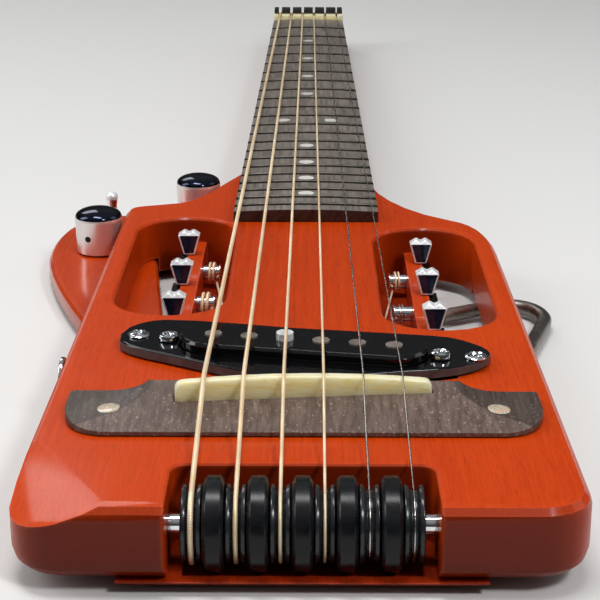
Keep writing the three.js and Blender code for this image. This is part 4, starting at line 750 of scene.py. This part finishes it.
def fret_wire(n):
    wire = new_grid(f"fret_{n}", 14, 8)
    t = fret_place(n)
    half = half_board(t)
    columns = sorted({round(v.co.x, 4) for v in wire.data.vertices})
    for corner in wire.data.vertices:
        u, v, low = corner.co
        column = min(range(len(columns)), key=lambda c: abs(columns[c] - u))
        at_end = column in (0, len(columns) - 1)
        x = 2 * u * half if at_end else 2 * u * (half - fret_end_slope) * (1 / (2 * abs(columns[1])))
        angle = math.pi * (v + 0.5)
        crown = fret_crown * math.sin(angle) * (0.12 if at_end else 1)
        height = arch_at(x, t) + (crown if low > -0.5 else -0.5)
        corner.co = on_board(t + fret_half_width * math.cos(angle), height, x) * MM
    select_only(wire)
    bpy.ops.object.shade_smooth_by_angle(angle=math.radians(50))
    carry(wire, fret_nickel, fret_side_painted_shade)
    # Painted shade: the faces below the crown get the dark finish.
    faces_of(wire, lambda normal, centre: normal.z < 0.86, 1)
    settle(wire, [fret_nickel, fret_side_painted_shade])


for n in range(1, fret_count + 1):
    fret_wire(n)
print("frets:", fret_count, "last at", round(fret_place(fret_count), 1), "mm from the nut")

# %% [markdown]
# ## Inlays
# The position marks are shell discs let into the board: one each at frets 3, 5, 7, 9, 15, 17, 19 and
# 21, and a pair at 12. Small marks for the player sit in the bass edge. Each disc is a cylinder with
# a rounded rim, laid on the arch point by point.

# %% Inlay dots


single_dots = (3, 5, 7, 9, 15, 17, 19, 21)
pair_spread = 10.7
edge_pair_spread = 3.5


def before_fret(n):
    """The middle between a fret and the one before it."""
    return (fret_place(n) + fret_place(n - 1)) / 2


def inlay_dot(name, n, x_middle, radius=3.0):
    t = before_fret(n)
    bpy.ops.object.select_all(action="DESELECT")
    bpy.ops.mesh.primitive_cylinder_add(vertices=36, radius=radius, depth=1)
    dot = bpy.context.object
    dot.name = name
    for corner in dot.data.vertices:
        x, y, z = corner.co
        x += x_middle
        height = arch_at(x, t) + (0.03 if z > 0 else -0.6)
        corner.co = on_board(t - y, height, x) * MM
    soften(dot, 0.02, 30, 1)
    settle(dot, pearl)


for n in single_dots:
    inlay_dot(f"inlay_{n}", n, 0)
inlay_dot("inlay_12_bass", 12, -pair_spread)
inlay_dot("inlay_12_treble", 12, pair_spread)


def edge_mark(name, n, shift=0.0):
    t = before_fret(n) + shift
    spot = on_board(t, -2.4, -half_board(t) + 0.35)
    mark = turned(name, [(0, 0.5), (0.9, 0.5), (0.95, 0.45), (0.95, -0.38), (0.9, -0.4), (0, -0.4)],
                  spot, "X", 20)
    settle(mark, polished_bone)


for n in single_dots:
    edge_mark(f"edge_mark_{n}", n)
edge_mark("edge_mark_12_a", 12, -edge_pair_spread)
edge_mark("edge_mark_12_b", 12, edge_pair_spread)
print("inlays and edge marks in place")

# %% [markdown]
# ## Nut, head block, bridge and saddle
# These four are shaped right in CAD, slots and all. On the real guitar their edges are eased with a
# file, so copies of them get a small bevel. The head block holds the strings' ball ends.

# %% Eased blocks
eased("nut", "eased_nut", 0.25, 35, 3, polished_bone)
eased("head_block", "eased_head_block", 0.3, 35, 2, matt_black)
bridge = eased("bridge", "eased_bridge", 0.35, 32, 3, bridge_rosewood)
saddle = eased("saddle", "eased_saddle", 0.3, 40, 3, polished_bone)
print("saddle faces:", len(saddle.data.polygons))

# %% [markdown]
# ## Bridge dots
# Each end of the bridge has a shell dot that hides a screw. A ray dropped on the bridge finds its
# surface, and the dot lies on it, leaning as the wood leans there.

# %% Bridge dots


def surface_under(piece, x, y, from_z=60):
    bpy.context.view_layer.update()
    hit, spot, normal, _ = piece.ray_cast(Vector((x, y, from_z)) * MM, Vector((0, 0, -1)))
    if not hit:
        raise ValueError(f"nothing of {piece.name} lies under {x}, {y}")
    return spot / MM, normal


def leaning_disc(name, spot, normal, profile, steps=40):
    disc = turned(name, profile, (0, 0, 0), "Z", steps)
    lean = Vector((0, 0, 1)).rotation_difference(normal).to_matrix().to_4x4()
    disc.data.transform(Matrix.Translation(spot * MM) @ lean)
    return disc


for side, x in (("bass", -49.6), ("treble", 49.6)):
    spot, normal = surface_under(bridge, x, -8.2)
    dot = leaning_disc(f"bridge_dot_{side}", spot, normal,
                       [(0, 0.22), (2.2, 0.16), (3.0, 0.06), (3.15, -0.05), (3.15, -0.5), (0, -0.5)])
    settle(dot, copper_pearl)
    print("bridge dot", side, "at height", round(spot.z, 2))

# %% [markdown]
# ## The pickup
# A black ring carries a black cover with six steel poles. The third pole from the bass side is
# screwed up higher than the rest, as on the real one. The bobbin under the cover holds them, and a
# copy of it gets eased edges, so that each pole catches light on its rim. The ring's upper rim is
# lifted, because its edge is thicker in the photograph than in the solid.

# %% Pickup ring, cover and poles
ring = merged_copy("pickup_ring", "eased_ring")
ring_waist = 24.3
ring_lift = 1.0
for corner in ring.data.vertices:
    if corner.co.z > ring_waist * MM:
        corner.co.z += ring_lift * MM
soften(ring, 0.35, 35, 3)
carry(ring, gloss_black, satin_black)
faces_of(ring, lambda normal, centre: abs(normal.z) < 0.3, 1)
settle(ring, [gloss_black, satin_black], stands_for=["pickup_ring"])
eased("pickup_cover", "eased_cover", 0.25, 40, 2, gloss_black)
pickup_turn = math.radians(-10)
pickup_middle = Vector((0, 34.5, 0))
pole_line = -2.2
string_pitch = 10.16
playing_face = 22.7


def on_pickup(u, v, z):
    """A point in the pickup's own turned axes."""
    return pickup_middle + Vector((u * math.cos(pickup_turn) - v * math.sin(pickup_turn),
                                   u * math.sin(pickup_turn) + v * math.cos(pickup_turn), z))


pole_axes = [on_pickup((number - 2.5) * string_pitch, pole_line, 0) for number in range(6)]


def near_pole(centre, axes):
    return any((centre - Vector((axis.x, axis.y, centre.z))).length < 2.6 for axis in axes)


bobbin = merged_copy("pickup_bobbin", "eased_bobbin", 0.22, 40, 2)
carry(bobbin, matt_black, pole_steel, cast_chrome_painted_highlight)
pole_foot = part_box("pickup_cover")[0][2] / MM
faces_of(bobbin, lambda normal, centre: centre.z > pole_foot and near_pole(centre, pole_axes), 1)
# The raised third pole gets the pale chrome: painted highlight.
faces_of(bobbin, lambda normal, centre: centre.z > pole_foot and near_pole(centre, pole_axes[2:3]), 2)
settle(bobbin, [matt_black, pole_steel, cast_chrome_painted_highlight], stands_for=["pickup_bobbin"])
print("six poles finished, from", round(pole_foot, 1), "mm up")

# %% [markdown]
# ## Cross-head screws
# Two sizes of screw hold the pickup: flat ones through the ring, and tall ones that set its height.
# The head is turned, and two tapered bars are cut out of it for the cross. Cutting a real recess
# gives the sharp light marks that a painted cross can't, and the faces inside it get a dark finish as
# painted shade.

# %% Screws


def cut_cross(head, centre, top, length, width, depth, turn):
    for quarter in (0, math.pi / 2):
        bpy.ops.object.select_all(action="DESELECT")
        bpy.ops.mesh.primitive_cube_add(size=1)
        bar = bpy.context.object
        bar.name = "cross_cutter"
        for corner in bar.data.vertices:
            x, y, z = corner.co
            shrink = 1.0 if z > 0 else 0.55
            corner.co = Vector((x * length * shrink, y * width * shrink, (z - 0.5) * depth + 0.3)) * MM
        bar.data.transform(Matrix.Translation(Vector((centre[0], centre[1], top)) * MM)
                           @ Matrix.Rotation(turn + quarter, 4, "Z"))
        apply_modifier(head, "BOOLEAN", object=bar, operation="DIFFERENCE", solver="EXACT")
        bpy.data.objects.remove(bar)


def screw(name, centre, foot, seat, radius, height, shank, turn, dome=0.7):
    profile = [(0, foot), (shank, foot), (shank, seat), (radius * 0.94, seat), (radius, seat + 0.15),
               (radius, seat + height * 0.35), (radius * 0.9, seat + height * dome),
               (radius * 0.62, seat + height * 0.93), (radius * 0.3, seat + height), (0, seat + height)]
    made = turned(name, profile, (centre.x, centre.y, 0), "Z", 40)
    cut_cross(made, centre, seat + height, radius * 1.5, radius * 0.42, height * 0.8 + 0.5, turn)
    soften(made, 0, 30)
    carry(made, bright_chrome, recess_shadow)
    # Painted shade: the faces low inside the cross get the dark recess finish.
    faces_of(made, lambda normal, spot: spot.z > seat and (spot.z < seat + height * 0.5)
             and (spot - Vector((centre.x, centre.y, spot.z))).length < radius * 0.8, 1)
    return made


ring_top = playing_face + 3.4
height_screw_seat = playing_face + 3.6
ring_screw_x = 47.6
height_screw_x = 38.2
for side, sign in (("bass", -1), ("treble", 1)):
    centre = on_pickup(sign * ring_screw_x, 0, 0)
    made = screw(f"ring_screw_{side}", centre, ring_top - 1.5, ring_top, 3.15, 1.1, 1.4, 0.5 * sign, 0.6)
    settle(made, [bright_chrome, recess_shadow])
    centre = on_pickup(sign * height_screw_x, pole_line, 0)
    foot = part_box(f"height_screw_{side}")[0][2] / MM
    made = screw(f"height_screw_{side}_cut", centre, foot, height_screw_seat, 2.9, 2.0, 1.3, 0.9 * sign,
                 0.75)
    settle(made, [bright_chrome, recess_shadow], stands_for=[f"height_screw_{side}"])
print("screws cut")

# %% [markdown]
# ## The tail rollers
# Six grooved rollers turn the strings round at the tail, with a black disc between each pair of
# them. One of each is turned on the axle's line, and the rest are copies moved along it.

# %% Rollers, discs and axle
axle_centre = (0, -48.3, 13.1)
roller_pitch = 10.25
half_roller = 2.45
half_disc = 2.43
hub = half_roller + 0.16
roller = turned("first_roller", [
    (2.95, -hub), (6.2, -hub), (6.3, -half_roller), (8.5, -half_roller), (8.95, -half_roller + 0.08),
    (9.22, -half_roller + 0.3), (9.28, -half_roller + 0.55), (9.1, -1.35), (8.2, -0.85), (8.0, -0.5),
    (8.0, 0.5), (8.2, 0.85), (9.1, 1.35), (9.28, half_roller - 0.55), (9.22, half_roller - 0.3),
    (8.95, half_roller - 0.08), (8.5, half_roller), (6.3, half_roller), (6.2, hub), (2.95, hub),
    (2.95, -hub)], axle_centre, "X", 64)
disc = turned("first_disc", [
    (2.8, -half_disc), (10.3, -half_disc), (10.5, -half_disc + 0.04), (11.1, -half_disc + 0.64),
    (11.28, -half_disc + 0.84), (11.28, half_disc - 0.84), (11.1, half_disc - 0.64),
    (10.5, half_disc - 0.04), (10.3, half_disc), (2.8, half_disc), (2.8, -half_disc)], axle_centre, "X", 72)
for i in range(6):
    piece = twin(roller, f"string_roller_{i + 1}_turned", ((i - 2.5) * roller_pitch, 0, 0))
    settle(piece, roller_black, f"string_roller_{i + 1}", [f"string_roller_{i + 1}"])
for i in range(5):
    piece = twin(disc, f"spacer_disc_{i + 1}_turned", ((i - 2) * roller_pitch, 0, 0))
    settle(piece, disc_black, stands_for=[f"spacer_disc_{i + 1}"])
bpy.data.objects.remove(roller)
bpy.data.objects.remove(disc)
bright_from = 28.4
axle = turned("roller_axle_turned", [
    (0, -35.85), (2.0, -35.85), (2.48, -35.4), (2.48, -bright_from), (2.48, bright_from), (2.48, 35.4),
    (2.0, 35.85), (0, 35.85)], axle_centre, "X", 32)
# The axle's middle gets the dark chrome, a painted dark reflection. Its ends stay bright chrome.
carry(axle, painted_dark_reflection_chrome, bright_chrome)
faces_of(axle, lambda normal, centre: abs(centre.x) > bright_from, 1)
settle(axle, [painted_dark_reflection_chrome, bright_chrome], stands_for=["roller_axle"])
print("rollers at a pitch of", roller_pitch)

# %% [markdown]
# ## The strings
# Each string runs from its ball at the head, over nut and saddle, round its roller and back inside
# the body to a post that winds it up. The route is worked out from the same circles and tangents as
# in CAD, with more points, and a round wire is drawn along it.

# %% String routes
string_radii = (0.67, 0.57, 0.46, 0.36, 0.25, 0.2)
winding_pitch = (0.62, 0.5, 0.4, 0.3)
nut_y = board_y + board_end * math.cos(tilt)
nut_z = board_top - board_end * math.sin(tilt)
button_spots = [(-41.1, 92.7), (-41.1, 126.3), (-41.1, 159.9), (39.9, 150.2), (39.9, 116.6), (39.9, 83.0)]
post_z = 8.7
post_behind = 5.6
body_shift = -0.6
winding_x = 30.85
nut_pitch = 7.04
saddle_half = 25.4
roller_groove = 8.3
post_waist = 2.7


def side_of(i):
    """-1 where a string's tuner is on the bass side, 1 on the treble side."""
    return -1 if i < 3 else 1


def arc_on_x(centre, radius, start, end, x_start, x_end, steps):
    spots = []
    for step in range(steps + 1):
        share = step / steps
        angle = start + (end - start) * share
        spots.append(Vector((x_start + (x_end - x_start) * share, centre[0] + radius * math.cos(angle),
                             centre[1] + radius * math.sin(angle))))
    return spots


def string_route(i):
    radius = string_radii[i]
    x_nut = (i - 2.5) * nut_pitch
    block_y = nut_y + 5.5
    ball_y = block_y + 9.4 + 0.6 + 3.4
    ball_z = nut_z - 2.6 + 0.3 + 1.9
    over_nut = nut_z + 1.1 + 0.3 + radius
    x_saddle = (i - 2.5) * string_pitch
    s = x_saddle / saddle_half
    saddle_y = -2.6 + x_saddle * 1.8 / saddle_half
    saddle_top = playing_face + 9.7 - 0.42 * s - 0.95 * s * s + 0.24
    over_saddle = Vector((x_saddle, saddle_y, saddle_top + radius))
    route = [Vector((x_nut, ball_y - 3.0, ball_z)), Vector((x_nut, block_y + 4.7, ball_z)),
             Vector((x_nut, nut_y + 5.2, over_nut)), Vector((x_nut, nut_y, over_nut)), over_saddle]
    axle_y, axle_z = axle_centre[1], axle_centre[2]
    run = roller_groove + radius
    to_saddle = (over_saddle.y - axle_y, over_saddle.z - axle_z)
    start = math.atan2(to_saddle[1], to_saddle[0]) + math.acos(run / math.hypot(*to_saddle))
    post_y = button_spots[i][1] - post_behind
    post_run = post_waist + radius
    reach = math.hypot(post_y - axle_y, post_z - axle_z)
    slope = math.atan2(post_z - axle_z, post_y - axle_y) + math.asin((run - post_run) / reach)
    x_roller = (i - 2.5) * roller_pitch
    route += arc_on_x((axle_y, axle_z), run, start, slope + 1.5 * math.pi, x_roller, x_roller, 22)
    side = side_of(i)
    x_wind = body_shift + side * winding_x
    route += arc_on_x((post_y, post_z), post_run, slope - math.pi / 2, slope + 3.5 * math.pi,
                      x_wind, x_wind + side * 2 * (2 * radius + 0.45), 40)
    return route, ball_y, ball_z, x_nut


for i in range(6):
    route, ball_y, ball_z, x_nut = string_route(i)
    wire = tube(f"string_{i + 1}_wire", route, string_radii[i], 3)
    wound = i < 4
    paint = wound_bronze(f"wound_bronze_{i + 1}", winding_pitch[i]) if wound else plain_steel_string
    settle(wire, paint, stands_for=[f"string_{i + 1}"])
    ball = turned(f"string_{i + 1}_ball", [
        (0, -3.35), (1.2, -3.35), (1.75, -3.0), (1.85, -2.6), (1.5, -1.9), (1.5, -1.5), (1.85, -0.8),
        (1.75, -0.4), (1.2, -0.05), (0, -0.05)], (x_nut, ball_y, ball_z), "Y", 24)
    settle(ball, brass_ball)
print("strings drawn, nut at", round(nut_y, 2), round(nut_z, 2))

# %% [markdown]
# ## Tuner buttons
# Each button is a small cast wedge: narrow at the stem, wide and two-lobed on top. Its polished
# edges get a pale chrome as painted highlight, and its faces a dark chrome as painted reflection. Its
# outline is set point by point on a flat circle, pulled out to the button's depth and bevelled. All six
# are alike, so the other five are copies.

# %% Buttons
button_foot = 14.0
wedge_height = 7.0
half_width = 3.9
half_depth = 2.5
lobe_outline = [(-2.0, 0.0), (2.0, 0.0), (half_width, wedge_height)]
for step in range(1, 18):
    share = step / 18
    lobes = 0.5 - 0.5 * math.cos(4 * math.pi * share)
    crest = 7.1 + 0.55 * (1 - abs(2 * share - 1) ** 4) + 0.85 * lobes
    lobe_outline.append((half_width - 2 * half_width * share, crest))
lobe_outline.append((-half_width, wedge_height))
bpy.ops.object.select_all(action="DESELECT")
bpy.ops.mesh.primitive_circle_add(vertices=len(lobe_outline), radius=1, fill_type="NGON")
button = bpy.context.object
button.name = "first_button"
button_x, button_y = button_spots[0]
for corner, (across, up) in zip(button.data.vertices, lobe_outline):
    corner.co = Vector((button_x + across, button_y - half_depth, button_foot + up)) * MM
start_edit(button)
bpy.ops.mesh.bisect(plane_co=(button_x * MM, button_y * MM, (button_foot + wedge_height) * MM),
                    plane_no=(0, 0, 1))
bpy.ops.mesh.select_all(action="SELECT")
bpy.ops.mesh.extrude_region_move(TRANSFORM_OT_translate={"value": (0, 2 * half_depth * MM, 0)})
bpy.ops.mesh.select_all(action="SELECT")
bpy.ops.mesh.normals_make_consistent(inside=False)
bpy.ops.object.mode_set(mode="OBJECT")
apply_modifier(button, "BEVEL", width=0.95 * MM, segments=2, limit_method="ANGLE",
               angle_limit=math.radians(50))
for corner in button.data.vertices:
    up = corner.co.z / MM - button_foot
    if up > wedge_height:
        share = min(1, (up - wedge_height) / 1.6)
        corner.co.y = (button_y + (corner.co.y / MM - button_y) * (1 - 0.45 * share ** 1.3)) * MM
        corner.co.x = (button_x + (corner.co.x / MM - button_x) * (1 - 0.2 * share ** 0.5)) * MM
soften(button, 0, 25)
# The button's edges keep the pale chrome as painted highlight.
carry(button, cast_chrome_painted_highlight, button_face_painted_reflection)
# Painted dark reflection on the broad faces.
faces_of(button, lambda normal, centre: abs(normal.y) > 0.98, 1)
stem = turned("first_stem", [
    (0, 0.3), (1.9, 0.3), (1.95, 0.0), (1.6, -0.5), (1.5, -0.9), (1.5, -3.0), (1.95, -3.1), (1.95, -7.1),
    (0, -7.1)], (button_x, button_y, button_foot), "Z", 28)
for i, (x, y) in enumerate(button_spots):
    shift = (x - button_x, y - button_y, 0)
    piece = twin(button, f"tuner_button_{i + 1}_cast", shift)
    settle(piece, [cast_chrome_painted_highlight, button_face_painted_reflection], f"tuner_button_{i + 1}", [f"tuner_button_{i + 1}"])
    piece = twin(stem, f"tuner_stem_{i + 1}", shift)
    settle(piece, grey_steel, f"tuner_button_{i + 1}")
bpy.data.objects.remove(button)
bpy.data.objects.remove(stem)
print("buttons:", len(button_spots))

# %% [markdown]
# ## String posts and tuner housings
# A post lies across the cutout with its worm wheel hidden in the housing. Its free end is a bright
# round collar. The posts are turned, and the treble ones face the other way.

# %% Posts and housings
for i, (x, y) in enumerate(button_spots):
    side = side_of(i)
    low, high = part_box(f"string_post_{i + 1}")
    outer = (low[0] if side < 0 else high[0]) / MM
    inner = (high[0] if side < 0 else low[0]) / MM
    length = abs(outer - inner)
    profile = [(0, 0.02), (2.2, 0.02), (2.75, 0.2), (3.15, 0.62), (3.15, 0.7), (2.38, 0.95),
               (2.38, length - 3.0), (2.9, length - 3.0), (3.15, length - 2.8), (3.15, length - 0.2),
               (2.9, length - 0.02), (0, length - 0.02)]
    profile = [(r, inner + side * a) for r, a in profile]
    post = turned(f"string_post_{i + 1}_turned", profile, (0, y - post_behind, post_z), "X", 36)
    settle(post, bright_chrome, f"string_post_{i + 1}", [f"string_post_{i + 1}"])
    eased(f"tuner_housing_{i + 1}", f"tuner_housing_{i + 1}_eased", 0.12, 35, 1, black_metal)
print("posts run", round(length, 2), "mm each")

# %% [markdown]
# ## The knobs
# A dome knob has a mirror top and a finely ridged side with a grub screw in it. Turning one profile
# gives the whole knob, and its faces are sorted by height: those of the dome get a dark chrome, a painted
# dark reflection.

# %% Knobs
knob_spots = {"volume": (-75.5, 179.2), "tone": (-42.3, 227.1)}
knob_foot = 8.9
dome_radius = 8.45
dome_foot = 13.1
dome_rise = 3.25
grub_height = 6.4
grub_reach = 8.36
grub_turn = math.radians(-22)
outward = Vector((math.sin(grub_turn), -math.cos(grub_turn), 0))
dome = [(8.6, 12.5), (dome_radius, dome_foot)]
for step in range(1, 11):
    angle = math.radians(90 * step / 10)
    dome.append((dome_radius * math.cos(angle) ** 0.85 if step < 10 else 0.0,
                 dome_foot + dome_rise * math.sin(angle)))
for use, (x, y) in knob_spots.items():
    knob = turned(f"{use}_knob_turned", [
        (0, 2.2), (6.2, 2.2), (6.2, 0.05), (7.7, 0.05), (8.05, 0.3), (8.1, 0.9), (8.58, 11.9)] + dome,
        (x, y, knob_foot), "Z", 72, 30)
    side_metal = knurled_side(f"knurled_side_{use}", (x, y))
    carry(knob, side_metal, painted_dark_reflection_chrome)
    # The dome's faces get the dark chrome: a painted dark reflection.
    faces_of(knob, lambda normal, centre: centre.z > knob_foot + dome_foot - 0.2, 1)
    settle(knob, [side_metal, painted_dark_reflection_chrome], f"{use}_knob", [f"{use}_knob"])
    spot = Vector((x, y, knob_foot + grub_height)) + outward * grub_reach
    grub = leaning_disc(f"{use}_grub_screw", spot, outward, [
        (0, 0.22), (0.45, 0.22), (0.55, 0.3), (0.95, 0.28), (1.1, 0.12), (1.1, -1.6), (0, -1.6)], 24)
    settle(grub, recess_shadow, f"{use}_knob")
for use in knob_spots:
    eased(f"{use}_pot", f"{use}_pot_eased", 0.12, 35, 1, grey_steel)
print("knobs turned, domes at", round(knob_foot + dome_foot + dome_rise, 2))

# %% [markdown]
# ## The control cover
# A black plate closes the trough under the knobs, at the back of the wing. It isn't seen in the
# photograph, so it is a guess of the plainest kind: an eased plate with a small socket screw near
# each corner. The screws are turned head down, sunk until they stand a tenth of a millimetre proud.

# %% Control cover and its screws
cover_back = 0.4
cover_screw_spots = ((-84.1, 170.6), (-66.9, 170.6), (-82.4, 209.5), (-33.7, 233.2))
eased("control_cover", "eased_control_cover", 0.2, 35, 2, matt_black)
for number, (x, y) in enumerate(cover_screw_spots):
    made = leaning_disc(f"cover_screw_{number + 1}", Vector((x, y, cover_back)), Vector((0, 0, -1)), [
        (0, -0.35), (0.7, -0.35), (0.75, 0.1), (1.4, 0.1), (1.65, 0.02), (1.65, -0.1), (0.9, -0.9),
        (0, -0.9)], 24)
    settle(made, black_metal)
print("control cover held by", len(cover_screw_spots), "screws")

# %% [markdown]
# ## Toggle switch, jack and small parts
# The toggle's lever ends in a round tip above its hexagon nut. The jack's flange sits in the bass
# side. Both are polished metal.

# %% Toggle and jack
lever_pivot = (-73.2, 201.5, 12.8)
lever = turned("toggle_lever_turned", [
    (0, -2.35), (1.15, -2.35), (1.2, -2.3), (1.3, 0), (1.55, 3.0), (1.85, 7.0), (2.12, 9.4), (2.25, 10.3),
    (2.15, 11.0), (1.75, 11.6), (1.0, 11.93), (0, 12.0)], lever_pivot, "Z", 32, 40)
carry(lever, bright_chrome, cast_chrome_painted_highlight)
# The round tip gets the pale chrome: painted highlight.
faces_of(lever, lambda normal, centre: centre.z > lever_pivot[2] + 9.0, 1)
settle(lever, [bright_chrome, cast_chrome_painted_highlight], "toggle_lever", ["toggle_lever"])
eased("toggle_switch", "toggle_switch_eased", 0.2, 35, 2, bright_chrome)
eased("output_jack", "output_jack_eased", 0.35, 35, 3, bright_chrome)
print("lever top at", round(lever_pivot[2] + 12.0, 2))

# %% [markdown]
# ## The lap rest
# A bent steel rod swings out from the panel and lies on the player's leg. Its route is a line with
# rounded bends, and the rod's ends are closed flat.

# %% Lap rest


def rounded_route(corners, radii, steps=10):
    """The corners joined by straight runs, with an arc of the given radius at each inner corner."""
    route = [Vector(corners[0])]
    for before, corner, after, radius in zip(corners, corners[1:], corners[2:], radii):
        corner = Vector(corner)
        back = (Vector(before) - corner).normalized()
        onward = (Vector(after) - corner).normalized()
        half_angle = back.angle(onward) / 2
        start = corner + back * radius / math.tan(half_angle)
        end = corner + onward * radius / math.tan(half_angle)
        middle = corner + (back + onward).normalized() * radius / math.sin(half_angle)
        for step in range(steps + 1):
            share = step / steps
            spoke = (start - middle).lerp(end - middle, share).normalized()
            route.append(middle + spoke * radius)
    route.append(Vector(corners[-1]))
    return route


rod_height = 3.3
rod_radius = 2.4
rest_corners = [(54.2, 41, 16.9), (54.2, 41, rod_height), (80.3, 121.5, rod_height),
                (74.3, 139.2, rod_height), (45.6, 123.5, rod_height)]
rest_route = rounded_route(rest_corners, (4.8, 14, 10.5))
rest = tube("lap_rest_rod", rest_route, rod_radius, 8)
settle(rest, satin_rod, "lap_rest", ["lap_rest"])

# %% [markdown]
# ## What stays inside
# The truss rod and the piezo strip under the saddle keep their CAD shapes. They still get real
# finishes, because the guitar may be opened.

# %% Finishes for the kept nodes


def finish_node(name, paint):
    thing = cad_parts[name]
    if not thing.data.materials:
        thing.data.materials.append(None)
    for spot in thing.material_slots:
        spot.link = "OBJECT"
        spot.material = paint


finish_node("truss_rod", grey_steel)
finish_node("piezo_strip", fret_nickel)
print("kept nodes finished")
